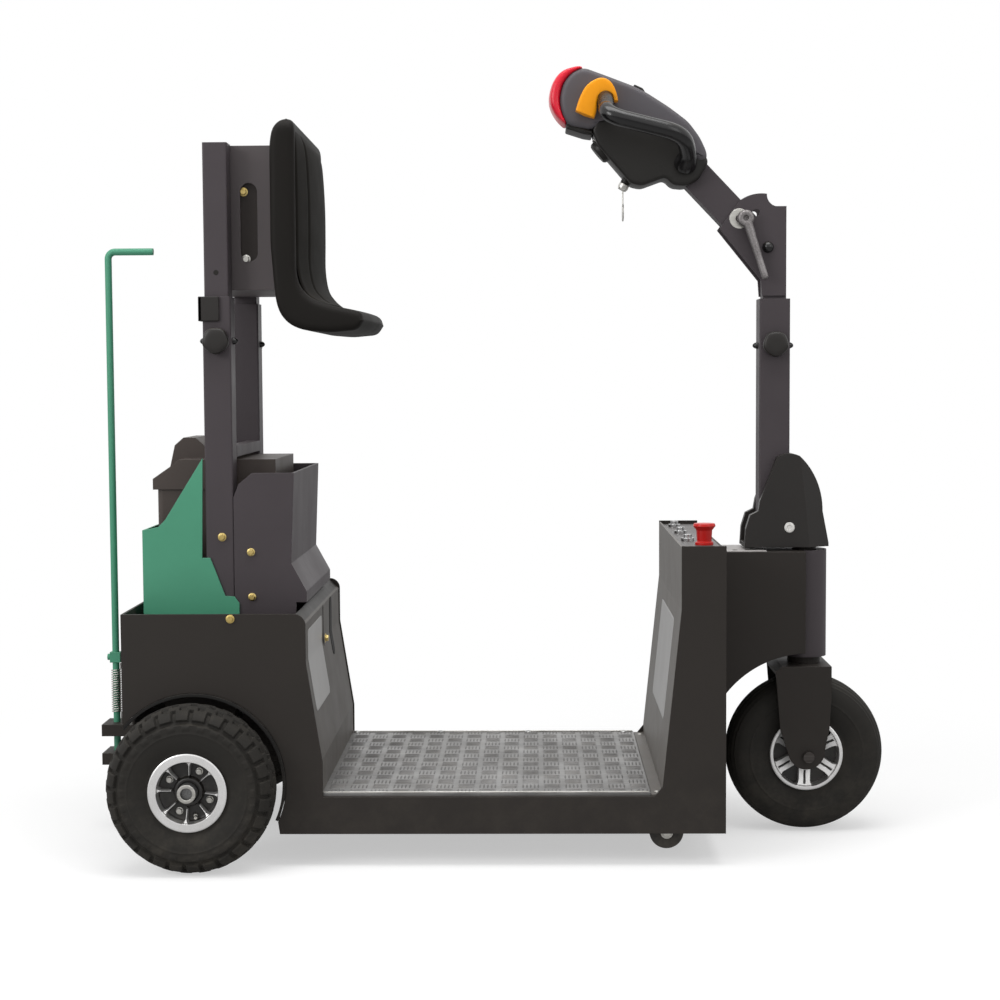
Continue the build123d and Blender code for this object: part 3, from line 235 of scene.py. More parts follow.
FLOOR_HALF = 25.0
floor_mesh = bpy.data.meshes.new("floor")
corners = [(x, y, 0.0) for x, y in ((-1, -1), (1, -1), (1, 1), (-1, 1))]
floor_mesh.from_pydata([(FLOOR_HALF * x, FLOOR_HALF * y, z) for x, y, z in corners], [], [(0, 1, 2, 3)])
floor = bpy.data.objects.new("floor", floor_mesh)
floor.data.materials.append(floor_finish)
bpy.context.scene.collection.objects.link(floor)

LAMPS = (
    # name, place, point it faces, width, height, watts
    ("lamp_overhead", (0.0, -0.6, 3.4), (0.0, 0.0, 0.4), 3.0, 1.6, 60.0),
    ("lamp_left", (-2.8, -2.4, 2.0), (0.0, 0.0, 0.6), 1.6, 1.6, 44.0),
    ("lamp_right", (2.6, -2.2, 2.2), (0.0, 0.0, 0.6), 1.2, 1.6, 9.0),
)
for name, place, target, size_x, size_y, power in LAMPS:
    lamp = bpy.data.lights.new(name, "AREA")
    lamp.shape = "RECTANGLE"
    lamp.size = size_x
    lamp.size_y = size_y
    lamp.energy = power
    holder = bpy.data.objects.new(name, lamp)
    holder.location = place
    holder.rotation_euler = (Vector(target) - Vector(place)).to_track_quat("-Z", "Y").to_euler()
    bpy.context.scene.collection.objects.link(holder)
print("lamps:", [row[0] for row in LAMPS])

# %% [markdown]
# ## Effects that many finishes share
#
# Real surfaces are never one flat colour. Powder coat has a fine orange
# peel, edges catch the light because they are slightly rounded and rubbed,
# dust settles on what faces up, and metal carries the streaks of the tool
# that finished it. Each of these is one node group, built once and placed
# in every material with its own amounts. A group gives out only colours,
# masks, heights and normals; the shader itself stays in the material.

# %% Grain: fine peel and slow mottling
grain, given, out = new_group(
    "surface_grain",
    (("Vector", "Vector"), ("Fine", "Float", 900.0), ("Slow", "Float", 9.0)),
    (("Height", "Float"), ("Mottle", "Float")),
)
fine = noise(grain, given["Vector"], given["Fine"], 2.0)
slow = noise(grain, given["Vector"], given["Slow"], 4.0, 0.6)
fill(out, {"Height": fine, "Mottle": slow})
print("group", grain.name)

# %% Rounded and rubbed edges
edges, given, out = new_group(
    "rubbed_edges",
    (("Vector", "Vector"), ("Radius", "Float", 0.0015), ("Amount", "Float", 0.5)),
    (("Mask", "Float"), ("Normal", "Vector")),
)
bevel = wire(edges, "Bevel", {"Radius": given["Radius"]}, samples=4)
flat = wire(edges, "NewGeometry").outputs["Normal"]
same = wire(edges, "VectorMath", {0: bevel.outputs[0], 1: flat}, operation="DOT_PRODUCT")
bend = spread(edges, maths(edges, "SUBTRACT", 1.0, same.outputs["Value"]), 0.005, 0.12)
rub = spread(edges, noise(edges, given["Vector"], 60.0, 5.0, 0.65), 0.42, 0.62)
mask = maths(edges, "MULTIPLY", maths(edges, "MULTIPLY", bend, rub), given["Amount"])
fill(out, {"Mask": mask, "Normal": bevel.outputs[0]})
print("group", edges.name)

# %% Dust on what faces up and near the floor
dust, given, out = new_group(
    "settled_dust",
    (("Vector", "Vector"), ("Amount", "Float", 0.3)),
    (("Mask", "Float"),),
)
facing = wire(dust, "SeparateXYZ", {"Vector": wire(dust, "NewGeometry").outputs["Normal"]})
height = wire(dust, "SeparateXYZ", {"Vector": given["Vector"]})
upward = spread(dust, facing.outputs["Z"], 0.3, 1.0, 0.0, 0.6)
low = spread(dust, height.outputs["Z"], 0.25, 0.0, 0.0, 0.8)
cloud = noise(dust, given["Vector"], 22.0, 6.0, 0.7)
lying = maths(dust, "MAXIMUM", upward, low)
patches = maths(dust, "MULTIPLY", lying, spread(dust, cloud, 0.35, 0.75))
mask = maths(dust, "MULTIPLY", patches, given["Amount"])
fill(out, {"Mask": mask})
print("group", dust.name)

# %% Streaks left by brushing or turning
streaks, given, out = new_group(
    "tool_streaks",
    (("Vector", "Vector"), ("Stretch", "Vector", (12.0, 900.0, 900.0))),
    (("Height", "Float"), ("Shade", "Float")),
)
pulled = wire(streaks, "VectorMath", {0: given["Vector"], 1: given["Stretch"]}, operation="MULTIPLY")
line = noise(streaks, pulled.outputs[0], 1.0, 3.0)
broad = noise(streaks, given["Vector"], 14.0, 3.0)
shade = maths(streaks, "MULTIPLY", maths(streaks, "ADD", line, broad), 0.5)
fill(out, {"Height": line, "Shade": shade})
print("group", streaks.name)

# %% [markdown]
# ## One recipe, many finishes
#
# Paint, rubber and moulded plastic differ in colour, gloss, grain and how
# they age, but the graph is the same, so one function builds them all from
# a row of amounts. Metals get a second recipe, because their colour comes
# from reflections and their streaks matter more than their grain.

# %% Recipe for paint, rubber and plastic
DUST_COLOUR = chart(150, 140, 125)


def start_material(name):
    """A new material; gives it, its tree, its shader and the object coordinates."""
    made = bpy.data.materials.new(name)
    made.use_nodes = True
    tree = made.node_tree
    place = wire(tree, "TexCoord").outputs["Object"]
    return made, tree, tree.nodes["Principled BSDF"], place


def bumped(tree, height, distance, normal=None):
    """A Bump node on top of a normal, with its height scaled to metres."""
    inputs = {"Height": height, "Strength": 1.0, "Distance": distance}
    if normal is not None:
        inputs["Normal"] = normal
    return wire(tree, "Bump", inputs).outputs[0]


def scaled(colour, amount):
    """The same colour, darker or lighter by a factor."""
    return (*[c * amount for c in colour[:3]], 1.0)


def coated(name, colour, rub_colour, rough=0.5, fine=900.0, peel=0.00002, shine=0.3,
           mottle=0.12, rubbed=0.5, radius=0.0015, dusty=0.2, slow=9.0):
    """Paint, rubber or plastic: mottled colour, rubbed edges, dust, and a fine grain in the normal."""
    made, tree, shader, place = start_material(name)
    surface = use_group(tree, grain, Vector=place, Fine=fine, Slow=slow)
    worn = use_group(tree, edges, Vector=place, Radius=radius, Amount=rubbed)
    dirt = use_group(tree, dust, Vector=place, Amount=dusty)
    tone = blend_colour(tree, surface["Mottle"], scaled(colour, 1 - mottle), scaled(colour, 1 + mottle))
    tone = blend_colour(tree, worn["Mask"], tone, rub_colour)
    tone = blend_colour(tree, dirt["Mask"], tone, DUST_COLOUR)
    gloss = spread(tree, surface["Mottle"], 0.2, 0.8, rough - 0.06, rough + 0.06)
    gloss = maths(tree, "ADD", gloss, maths(tree, "MULTIPLY", dirt["Mask"], 0.3), clamp=True)
    normal = bumped(tree, surface["Height"], peel, worn["Normal"])
    fill(shader, {"Base Color": tone, "Roughness": gloss, "Normal": normal, "Specular IOR Level": shine})
    return made


print("recipe for coats ready")

# %% Recipe for bare metal
def bare_metal(name, colour, deep, rough=0.35, stretch=(12.0, 900.0, 900.0), groove=0.00002,
               rubbed=0.4, radius=0.0008, dusty=0.15):
    """Bare metal: streaked colour between two shades, bright edges, and grooves in the normal."""
    made, tree, shader, place = start_material(name)
    marks = use_group(tree, streaks, Vector=place, Stretch=stretch)
    worn = use_group(tree, edges, Vector=place, Radius=radius, Amount=rubbed)
    dirt = use_group(tree, dust, Vector=place, Amount=dusty)
    tone = blend_colour(tree, spread(tree, marks["Shade"], 0.3, 0.7), deep, colour)
    bright = tuple(min(1.0, c) for c in scaled(colour, 1.3))
    tone = blend_colour(tree, worn["Mask"], tone, bright)
    tone = blend_colour(tree, dirt["Mask"], tone, DUST_COLOUR)
    gloss = spread(tree, marks["Shade"], 0.3, 0.7, rough + 0.1, rough - 0.05)
    metal = maths(tree, "SUBTRACT", 1.0, dirt["Mask"], clamp=True)
    normal = bumped(tree, marks["Height"], groove, worn["Normal"])
    fill(shader, {"Base Color": tone, "Roughness": gloss, "Normal": normal, "Metallic": metal})
    return made


print("recipe for metal ready")

# %% The finishes
COATS = {
    # name: colour, colour where it is rubbed, and what differs from the recipe
    "chassis_paint": ((47, 43, 40), (90, 86, 82), dict(rough=0.55, shine=0.22, dusty=0.06)),
    "tube_paint": ((68, 62, 65), (120, 114, 117), dict(dusty=0.1)),
    "green_paint": ((75, 150, 119), (128, 184, 158), dict(rough=0.45, shine=0.4)),
    "panel_grey": ((74, 70, 70), (128, 124, 122), dict(rough=0.4, shine=0.4)),
    # A lighter copy of tube_paint for the seat bracket: painted light against the shade it sits in behind the
    # masts and shell.
    "bracket_paint": ((88, 82, 83), (128, 122, 124), dict(dusty=0.1)),
    # Darker sheets in the seat bracket's slots: painted shade of the recess.
    "bracket_inside": ((56, 51, 49), (84, 80, 78), dict(rough=0.6, shine=0.2)),
    "rider_panel": ((97, 93, 89), (140, 136, 132), dict(rough=0.45, shine=0.35)),
    "kick_paint": ((80, 76, 72), (124, 120, 116), {}),
    "trim_rubber": ((30, 29, 28), (60, 58, 56), dict(rough=0.7, shine=0.25)),
    "tyre": ((36, 34, 31), (66, 63, 59), dict(rough=0.8, fine=500.0, peel=6e-5, dusty=0.12, radius=0.002)),
    "black_plastic": ((35, 32, 30), (60, 57, 54), dict(rough=0.42, shine=0.35, fine=1500.0)),
    "shell_plastic": (
        (29, 27, 25), (54, 51, 48), dict(rough=0.6, shine=0.10, fine=1500.0, rubbed=0.2, dusty=0.02),
    ),
    "gloss_black": ((14, 13, 14), (50, 48, 50), dict(rough=0.22, shine=0.5, rubbed=0.2, peel=5e-6)),
    "head_grey": ((85, 82, 86), (112, 110, 112), dict(fine=1400.0)),
    "head_dark": ((23, 21, 18), (62, 58, 54), dict(rough=0.45, shine=0.35, fine=1400.0)),
    "battery_plastic": ((76, 68, 64), (96, 88, 84), dict(rough=0.45, fine=1300.0)),
    "seat_vinyl": (
        (24, 22, 19), (50, 47, 44), dict(rough=0.7, shine=0.06, fine=450.0, peel=1.2e-4, dusty=0.1),
    ),
    "red_plastic": (
        (222, 12, 46), (230, 110, 110), dict(rough=0.3, shine=0.5, rubbed=0.2, peel=5e-6, dusty=0.05),
    ),
    "stop_red": (
        (196, 20, 14), (226, 90, 80), dict(rough=0.35, shine=0.4, rubbed=0.2, peel=5e-6, dusty=0.05),
    ),
    "yellow_plastic": ((246, 158, 10), (250, 200, 110), dict(rough=0.4, rubbed=0.3, dusty=0.05)),
    "white_cap": ((228, 226, 222), (245, 245, 242), dict(rough=0.35, rubbed=0.2, dusty=0.05)),
    # Pale grey for the plate on the neck top: painted reflection of the dark top seen at a grazing angle.
    "pale_plate": ((176, 172, 170), (205, 203, 200), dict(rough=0.45, dusty=0.15, mottle=0.05)),
    "bare_film": (
        (166, 165, 164), (205, 204, 202), dict(rough=0.4, mottle=0.04, rubbed=0.2, dusty=0.1, peel=4e-6),
    ),
}
METALS = {
    # name: colour, deeper colour of its streaks, and what differs from the recipe
    "deck_aluminium": ((156, 155, 154), (114, 113, 112), dict(rough=0.42)),
    # Darker than the deck plate: painted shade, standing for the shade the raised ribs cast.
    "rib_aluminium": ((122, 121, 120), (98, 97, 96), dict(rough=0.5)),
    "rim_aluminium": ((205, 205, 205), (150, 150, 150), dict(rough=0.28)),
    "zinc": ((190, 190, 188), (130, 130, 128), {}),
    "bright_zinc": ((215, 213, 208), (160, 158, 152), dict(rough=0.3)),
    "brass_zinc": ((222, 202, 138), (176, 150, 84), dict(rough=0.36)),
    "steel_dark": ((92, 88, 86), (60, 56, 54), dict(rough=0.45)),
    "cast_iron": ((150, 150, 150), (95, 95, 95), dict(rough=0.5, stretch=(500.0, 500.0, 500.0))),
    "grey_casting": ((150, 146, 146), (112, 108, 108), dict(rough=0.5, stretch=(400.0, 400.0, 400.0))),
}
finish = {}
for recipe, table in ((coated, COATS), (bare_metal, METALS)):
    for name, (colour, second, amounts) in table.items():
        finish[name] = recipe(name, chart(*colour), chart(*second), **amounts)
print("finishes:", len(finish))

# %% [markdown]
# ## Dressing the CAD nodes
#
# The imported record says which finish each node takes, and four nodes have
# a finish of their own. The seat bracket's is a lighter copy of the tube
# paint: painted light against the shade that falls on it. Nodes keep their
# shape and place: a material is all that changes.

# %% Finish for every CAD node
# The seat bracket takes the lightened tube paint, which is painted light; the other three are their own
# colours.
OWN_FINISH = {
    "seat_bracket": "bracket_paint", "tower_panel": "rider_panel", "kick_panel": "kick_paint",
    "stop_button": "stop_red",
}
for row in frame["record"]["subparts"]:
    paint = OWN_FINISH.get(row["node"], row["material_slot"])
    frame["nodes"][row["node"]].material_slots[0].material = finish[paint]

# The kick panel's rolled top is dark like the side plates it runs into.
ROLL_LOW, ROLL_HIGH = 0.393, 0.395
ROLL_COLOUR = chart(34, 31, 28)
kick_tree = finish["kick_paint"].node_tree
kick_shader = kick_tree.nodes["Principled BSDF"]
place = wire(kick_tree, "TexCoord").outputs["Object"]
height = wire(kick_tree, "SeparateXYZ", {"Vector": place}).outputs["Z"]
rolled = spread(kick_tree, height, ROLL_LOW, ROLL_HIGH)
below = kick_shader.inputs["Base Color"].links[0].from_socket
fill(kick_shader, {"Base Color": blend_colour(kick_tree, rolled, below, ROLL_COLOUR)})

# %% [markdown]
# ## Surfaces from numbers
#
# Every new piece is a grid of points that numpy works out in one go. A
# `skin` is such a grid with two flags that say whether its rows and its
# columns close on themselves. A torus closes both ways, a lathe shape
# closes one way, and a flat sheet none. Poles and seams are merged after
# the mesh is made, so that every closed piece is watertight and faces
# outwards.

# %% Grid helpers
import bmesh


def grid_faces(count_u, count_v, wrap_u, wrap_v):
    """Corners of each cell: point (i, j) is number i * count_v + j, and a wrapped side returns to 0."""
    i, j = np.meshgrid(
        np.arange(count_u - (not wrap_u)), np.arange(count_v - (not wrap_v)), indexing="ij"
    )
    far_i = (i + 1) % count_u
    far_j = (j + 1) % count_v
    pairs = ((i, j), (far_i, j), (far_i, far_j), (i, far_j))
    return np.stack([(a * count_v + b).ravel() for a, b in pairs], axis=1)


def make_piece(name, skins, body, paint, sharp=38.0, weld=2e-6):
    """One mesh from several skins (points, wrap_u, wrap_v); points may hold many copies of a grid."""
    points, faces, total = [], [], 0
    for grid, wrap_u, wrap_v in skins:
        grid = np.asarray(grid, float)
        if grid.ndim == 3:
            grid = grid[None]
        copies, count_u, count_v = grid.shape[:3]
        cell = grid_faces(count_u, count_v, wrap_u, wrap_v)
        offset = total + np.arange(copies)[:, None, None] * count_u * count_v
        faces.append((cell[None] + offset).reshape(-1, 4))
        points.append(grid.reshape(-1, 3))
        total += copies * count_u * count_v
    mesh = bpy.data.meshes.new(name)
    mesh.from_pydata(np.concatenate(points), [], np.concatenate(faces))
    shape = bmesh.new()
    shape.from_mesh(mesh)
    bmesh.ops.remove_doubles(shape, verts=shape.verts, dist=weld)
    bmesh.ops.recalc_face_normals(shape, faces=shape.faces)
    shape.to_mesh(mesh)
    shape.free()
    mesh.polygons.foreach_set("use_smooth", np.ones(len(mesh.polygons), bool))
    mesh.set_sharp_from_angle(angle=np.radians(sharp))
    piece = bpy.data.objects.new(name, mesh)
    bpy.context.scene.collection.objects.link(piece)
    mesh.materials.append(finish[paint])
    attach(piece, body)
    return piece


def circle(count):
    """Angles of count even steps round a circle."""
    return np.arange(count) / count * 2 * np.pi


def run_along(line):
    """Distance along a line at each of its points: the sum of the steps so far."""
    return np.concatenate(((0.0,), np.cumsum(np.linalg.norm(np.diff(line, axis=0), axis=1))))


def along_line(points, count):
    """The same line with evenly spaced points: each coordinate read off at equal steps of the length."""
    p = np.asarray(points, float)
    run = run_along(p)
    at = np.linspace(0.0, run[-1], count)
    return np.stack([np.interp(at, run, p[:, k]) for k in range(p.shape[1])], axis=1)


def into_line(line):
    """Unit vectors across a closed line that point to its inside."""
    ahead = np.roll(line, -1, axis=0) - np.roll(line, 1, axis=0)
    left = np.stack((-ahead[:, 1], ahead[:, 0]), axis=1) / np.linalg.norm(ahead, axis=1)[:, None]
    after = np.roll(line, -1, axis=0)
    return left * np.sign(np.sum(line[:, 0] * after[:, 1] - after[:, 0] * line[:, 1]))


def smooth_through(points, count, closed=False):
    """Catmull-Rom curve: a cubic between neighbours whose slope at a point is half the step across it."""
    p = np.asarray(points, float)
    if closed:
        ring = np.concatenate((p[-1:], p, p[:2]))
        t = np.arange(count) / count * len(p)
    else:
        ring = np.concatenate((2 * p[:1] - p[1:2], p, 2 * p[-1:] - p[-2:-1]))
        t = np.linspace(0, len(p) - 1, count)
    k = np.minimum(t.astype(int), len(ring) - 4)
    f = (t - k)[:, None]
    a, b, c, d = ring[k], ring[k + 1], ring[k + 2], ring[k + 3]
    return b + 0.5 * f * (c - a + f * (2 * a - 5 * b + 4 * c - d + f * (3 * (b - c) + d - a)))


def frame_about(axis):
    """Two unit vectors at right angles to an axis and to each other."""
    axis = np.asarray(axis, float) / np.linalg.norm(axis)
    helper = np.array((0.0, 0.0, 1.0)) if abs(axis[2]) < 0.9 else np.array((1.0, 0.0, 0.0))
    side = np.cross(helper, axis)
    side /= np.linalg.norm(side)
    return axis, side, np.cross(axis, side)


def turned(profile, centre, axis, steps=32):
    """Lathe shape: centre + along * axis + radius * (cos t * side + sin t * up), for rows (radius, along)."""
    axis, side, up = frame_about(axis)
    profile = np.asarray(profile, float)
    t = circle(steps)
    spoke = np.cos(t)[:, None] * side + np.sin(t)[:, None] * up
    points = profile[None, :, :1] * spoke[:, None, :] + profile[None, :, 1:2] * axis
    return np.asarray(centre) + points, True, False


def tube(route, radius, sides, up=(0.0, 1.0, 0.0)):
    """A ring of the radius carried along a route: the ring stands across the route's direction."""
    route = np.asarray(route, float)
    along = np.gradient(route, axis=0)
    along /= np.linalg.norm(along, axis=1)[:, None]
    across = np.cross(along, np.broadcast_to(np.asarray(up, float), along.shape))
    across /= np.linalg.norm(across, axis=1)[:, None]
    over = np.cross(across, along)
    t = circle(sides)
    radius = np.broadcast_to(np.asarray(radius, float), len(route))[:, None, None]
    ring = np.cos(t)[None, :, None] * across[:, None] + np.sin(t)[None, :, None] * over[:, None]
    ends = [np.broadcast_to(route[k], (1, sides, 3)) for k in (0, -1)]
    return np.concatenate((ends[0], route[:, None] + radius * ring, ends[1])), False, True


def round_axle(centre, angle, radius, across):
    """Points at an angle and a radius round an axle that runs along Y, moved along it by across."""
    x = centre[0] + radius * np.cos(angle)[:, None]
    z = centre[2] + radius * np.sin(angle)[:, None]
    return np.stack((x, centre[1] + across, z), axis=2)


def step(value, low, high):
    """0 below low, 1 above high, and a smooth S between them."""
    t = np.clip((value - low) / (high - low), 0.0, 1.0)
    return t * t * (3 - 2 * t)


def band(value, rise, fall):
    """A smooth step up over the pair rise, then down over the pair fall."""
    return step(value, *rise) * (1 - step(value, *fall))


print("grid helpers ready")

# %% [markdown]
# ## Tyres
#
# The rear tyres drive, so they carry blocks; the front one is steered and
# only has shallow ribs. A tyre is a ring surface with two parameters: the
# angle round the axle and the place across the section. The section is one
# smooth curve through a few points, and the tread is a height added along
# its outward direction. Modelling the blocks as real height, rather than
# bump, gives the wheel its saw-tooth outline against the floor.

# %% Tyre section
SIDES = (("left", 1), ("right", -1))
AXLE_Z = 0.135
FRONT_X = 0.541
REAR_X = -0.472
REAR_Y = 0.295
HALF_SECTION = (
    (0.0, 0.0584), (0.018, 0.0584), (0.034, 0.0584), (0.0363, 0.061), (0.0364, 0.0665),
    (0.0400, 0.0750), (0.0434, 0.0870), (0.0444, 0.0985), (0.0432, 0.1095), (0.0400, 0.1185),
    (0.0345, 0.1252), (0.0250, 0.1303), (0.0130, 0.1340), (0.0, 0.1350),
)


def tyre_section(count):
    """Closed section of a tyre as rows (across, radius), evenly spaced along its length."""
    half = np.array(HALF_SECTION)
    other = half[1:-1][::-1] * (-1, 1)
    curve = smooth_through(np.concatenate((half, other)), 4000, closed=True)
    return along_line(np.concatenate((curve, curve[:1])), count + 1)[:-1]


def make_tyre(name, centre, body, node, steps, count, relief):
    """Ring surface: the section goes round the axle, and relief(angle, across, radius) lowers it inwards."""
    section = tyre_section(count)
    inward = into_line(section)
    angle = circle(steps)
    depth = relief(angle[:, None], section[None, :, 0], section[None, :, 1])
    across = section[None, :, 0] + depth * inward[None, :, 0]
    radius = section[None, :, 1] + depth * inward[None, :, 1]
    piece = make_piece(name, [(round_axle(centre, angle, radius, across), True, True)], body, "tyre")
    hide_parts(node)
    print(name, "quads", steps * count)


# %% Rear tread: blocks in five rows
BLOCKS = 28
GROOVE = 0.0052
CROWN_EDGE_R = 0.1225
TREAD_LOW_R = 0.1085
FLANK_STEP = 0.0012
ROWS = (
    # middle, half width, share of the pitch, phase
    (0.0, 0.0068, 0.70, 0.0),
    (0.0185, 0.0062, 0.66, 0.5),
    (0.0365, 0.0110, 0.76, 0.0),
)


def rear_relief(angle, across, radius):
    """Groove depth wherever no block stands: a block is a box in angle and in distance from the middle."""
    from_middle = np.abs(across) + np.clip(CROWN_EDGE_R - radius, 0.0, 1.0) * 0.9
    tread = step(radius, TREAD_LOW_R, TREAD_LOW_R + 0.003)
    solid = np.zeros(np.broadcast(angle, across).shape)
    skew = np.where(across < 0, 0.25, 0.0)
    for middle, half, share, phase in ROWS:
        turn = (angle / (2 * np.pi) * BLOCKS + phase + skew) % 1.0
        in_turn = 1 - step(np.abs(turn - 0.5), share / 2 - 0.035, share / 2 + 0.035)
        in_row = 1 - step(np.abs(from_middle - middle), half - 0.0006, half + 0.0006)
        solid = np.maximum(solid, in_turn * in_row)
    lug = (angle / (2 * np.pi) * BLOCKS + 0.5) % 1.0
    lump = (1 - step(np.abs(lug - 0.5), 0.2, 0.32)) * band(radius, (0.099, 0.102), (0.106, 0.108))
    ring = band(radius, (0.0945, 0.0955), (0.0965, 0.0975))
    flank = 1 - step(radius, 0.108, 0.110)
    return GROOVE * tread * (1 - solid) + flank * FLANK_STEP * (1 - np.maximum(lump, ring))


for side, sign in SIDES:
    make_tyre(
        f"tread_{side}", (REAR_X, sign * REAR_Y, AXLE_Z), f"rear_wheel_{side}",
        f"rear_tyre_{side}", 700, 128, rear_relief,
    )

# %% Front tyre: faint ribs
RIB_PITCH = 0.0085
RIB_DEPTH = 0.0011
RING_DEPTH = 0.0008


def rib_relief(angle, across, radius):
    """Shallow round grooves on the crown and one raised ring on the flank, the same at every angle."""
    crown = step(radius, 0.121, 0.124)
    rib = 0.5 + 0.5 * np.cos(across / RIB_PITCH * 2 * np.pi)
    ring = band(radius, (0.0945, 0.0955), (0.0975, 0.0985))
    return RIB_DEPTH * crown * step(rib, 0.55, 0.85) + RING_DEPTH * (1 - crown) * (1 - ring) + 0 * angle


make_tyre("steered_tyre", (FRONT_X, 0.0, AXLE_Z), "front_wheel", "front_tyre", 256, 160, rib_relief)

# %% [markdown]
# ## Chequer plate
#
# The deck is aluminium plate rolled with five-bar tread: squares of five
# short ribs, each square turned a quarter against its neighbours, so a shoe
# grips in every direction. One rib is a small lens-shaped grid; a table of
# places and turns repeats it over the whole deck.

# %% Five-bar ribs
RIB_SQUARE = 0.035
RIB_LONG = 0.0285
RIB_WIDE = 0.0030
RIB_HIGH = 0.0009
RIB_STEP = 0.0062
SQUARES_EACH_SIDE = 7

deck_low, deck_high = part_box("deck_plate")
along = np.linspace(-1, 1, 9)[:, None]
width = np.linspace(-1, 1, 5)
rib_x = along * RIB_LONG / 2 + 0 * width
rib_y = np.sqrt(np.clip(1 - along**2, 0, 1)) * width * RIB_WIDE / 2
rib_z = RIB_HIGH * np.clip(1 - width**2, 0, 1) * (1 - along**4)
squares_x = np.arange(deck_low.x + RIB_SQUARE / 2, deck_high.x - RIB_SQUARE / 2 + 0.001, RIB_SQUARE)
squares_y = np.arange(-SQUARES_EACH_SIDE, SQUARES_EACH_SIDE + 1) * RIB_SQUARE
ix, iy, k = np.meshgrid(
    np.arange(len(squares_x)), np.arange(len(squares_y)), np.arange(-2, 3), indexing="ij"
)
odd = ((ix + iy) % 2 == 1).ravel()
shift = (k * RIB_STEP).ravel()
place_x = (squares_x[ix].ravel() + np.where(odd, shift, 0.0))[:, None, None]
place_y = (squares_y[iy].ravel() + np.where(odd, 0.0, shift))[:, None, None]
quarter = odd[:, None, None]
tops_x = np.where(quarter, rib_y, rib_x) + place_x
tops_y = np.where(quarter, rib_x, rib_y) + place_y
tops = np.stack((tops_x, tops_y, np.broadcast_to(deck_high.z + rib_z, tops_x.shape)), axis=3)
# The ribs take a darker aluminium than the plate: painted shade between them.
make_piece("deck_ribs", [(tops, False, False)], "chassis", "rib_aluminium", weld=1e-7)
print("ribs:", len(tops))

# %% [markdown]
# ## Cast wheels
#
# A cast rim is a lathe shape with relief on its outer side: a bright flat
# ring, ribs that run in to the hub, and pockets between them that keep the
# black lacquer the whole casting was dipped in. The same ring surface as a
# tyre does it: the section goes round the axle, and on the outer side a
# height, worked out from radius and angle, moves the point along the axle.
# The height also says where the lacquer was machined off, and that goes
# into the mesh as an attribute that the material reads.

# %% Wheel finish: lacquer in the pockets, bare metal on what was machined
def lacquered_wheel(name, bright, rough):
    """Mixes bare aluminium and black lacquer by the mesh's own lacquer attribute."""
    made, tree, shader, place = start_material(name)
    mask = wire(tree, "Attribute", attribute_name="lacquer").outputs["Fac"]
    marks = use_group(tree, streaks, Vector=place, Stretch=(700.0, 90.0, 700.0))
    dirt = use_group(tree, dust, Vector=place, Amount=0.2)
    tone = blend_colour(tree, spread(tree, marks["Shade"], 0.3, 0.7), scaled(bright, 0.8), bright)
    tone = blend_colour(tree, mask, tone, chart(20, 18, 17))
    tone = blend_colour(tree, dirt["Mask"], tone, DUST_COLOUR)
    gloss = spread(tree, mask, 0.0, 1.0, rough, 0.4)
    metal = maths(tree, "SUBTRACT", 1.0, mask)
    normal = bumped(tree, marks["Height"], 0.00001)
    fill(shader, {"Base Color": tone, "Roughness": gloss, "Normal": normal, "Metallic": metal})
    return made


finish["cast_wheel"] = lacquered_wheel("cast_wheel", chart(238, 237, 236), 0.42)
print("wheel finish ready")

# %% Wheel shape
LIP_R = 0.0625
SEAT_R = 0.0578
WELL_R = 0.0500
LIP_OUT = 0.0400
LIP_IN = 0.0370
WEB_BACK = 0.0150
WHEEL_HUB_R = 0.0200
SPOKE_LOW = 0.0300
SPOKE_RISE = 0.0070
LIP_DROP = 0.0008


def make_wheel(name, centre, side, body, node, bore, hub_back, height):
    """Ring surface of a rim; height(angle, radius) gives the outer face and where it keeps its lacquer."""
    angle = circle(336)
    face_r = np.concatenate((
        np.linspace(bore, 0.0172, 4), np.linspace(0.0178, LIP_R - 0.0008, 74), (LIP_R,),
    ))
    out, lacquer = height(angle[:, None], face_r[None, :])
    back = np.array((
        # radius, across: both beads and their seat, which stay bright, then the lacquered well, web and hub
        (LIP_R, LIP_IN), (SEAT_R, LIP_IN - 0.001), (SEAT_R, 0.0), (SEAT_R, -LIP_IN + 0.001),
        (LIP_R, -LIP_IN), (LIP_R, -LIP_OUT + 0.0006), (LIP_R - 0.001, -LIP_OUT), (WELL_R, -LIP_OUT),
        (WELL_R, 0.0), (WELL_R, WEB_BACK - 0.003), (WELL_R - 0.003, WEB_BACK),
        (WHEEL_HUB_R + 0.003, WEB_BACK), (WHEEL_HUB_R, WEB_BACK - 0.003), (WHEEL_HUB_R, -hub_back),
        (bore, -hub_back), (bore, 0.0),
    ))
    bright_rows = 8
    back_r, back_across = (np.broadcast_to(column, (len(angle), len(back))) for column in back.T)
    radius = np.concatenate((np.broadcast_to(face_r, out.shape), back_r), axis=1)
    across = np.concatenate((out, back_across), axis=1)
    black = np.concatenate((lacquer, np.ones(back_r.shape)), axis=1)
    black[:, len(face_r):len(face_r) + bright_rows] = 0.0
    skin = (round_axle(centre, angle, radius, side * across), True, True)
    piece = make_piece(name, [skin], body, "cast_wheel", sharp=50.0, weld=1e-9)
    attribute = piece.data.attributes.new("lacquer", "FLOAT", "POINT")
    attribute.data.foreach_set("value", black.ravel().astype(np.float32))
    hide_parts(node)
    print(name, "quads", radius.size)


def ribs(angle, radius, count, phase, half_width):
    """1 on a rib and 0 off it, and the distance to the middle of the nearest of count even spokes."""
    turn = ((angle - phase) / (2 * np.pi) * count + 0.5) % 1.0 - 0.5
    off = np.abs(np.sin(turn / count * 2 * np.pi)) * radius
    return 1 - step(off, half_width - 0.0005, half_width + 0.0005), off


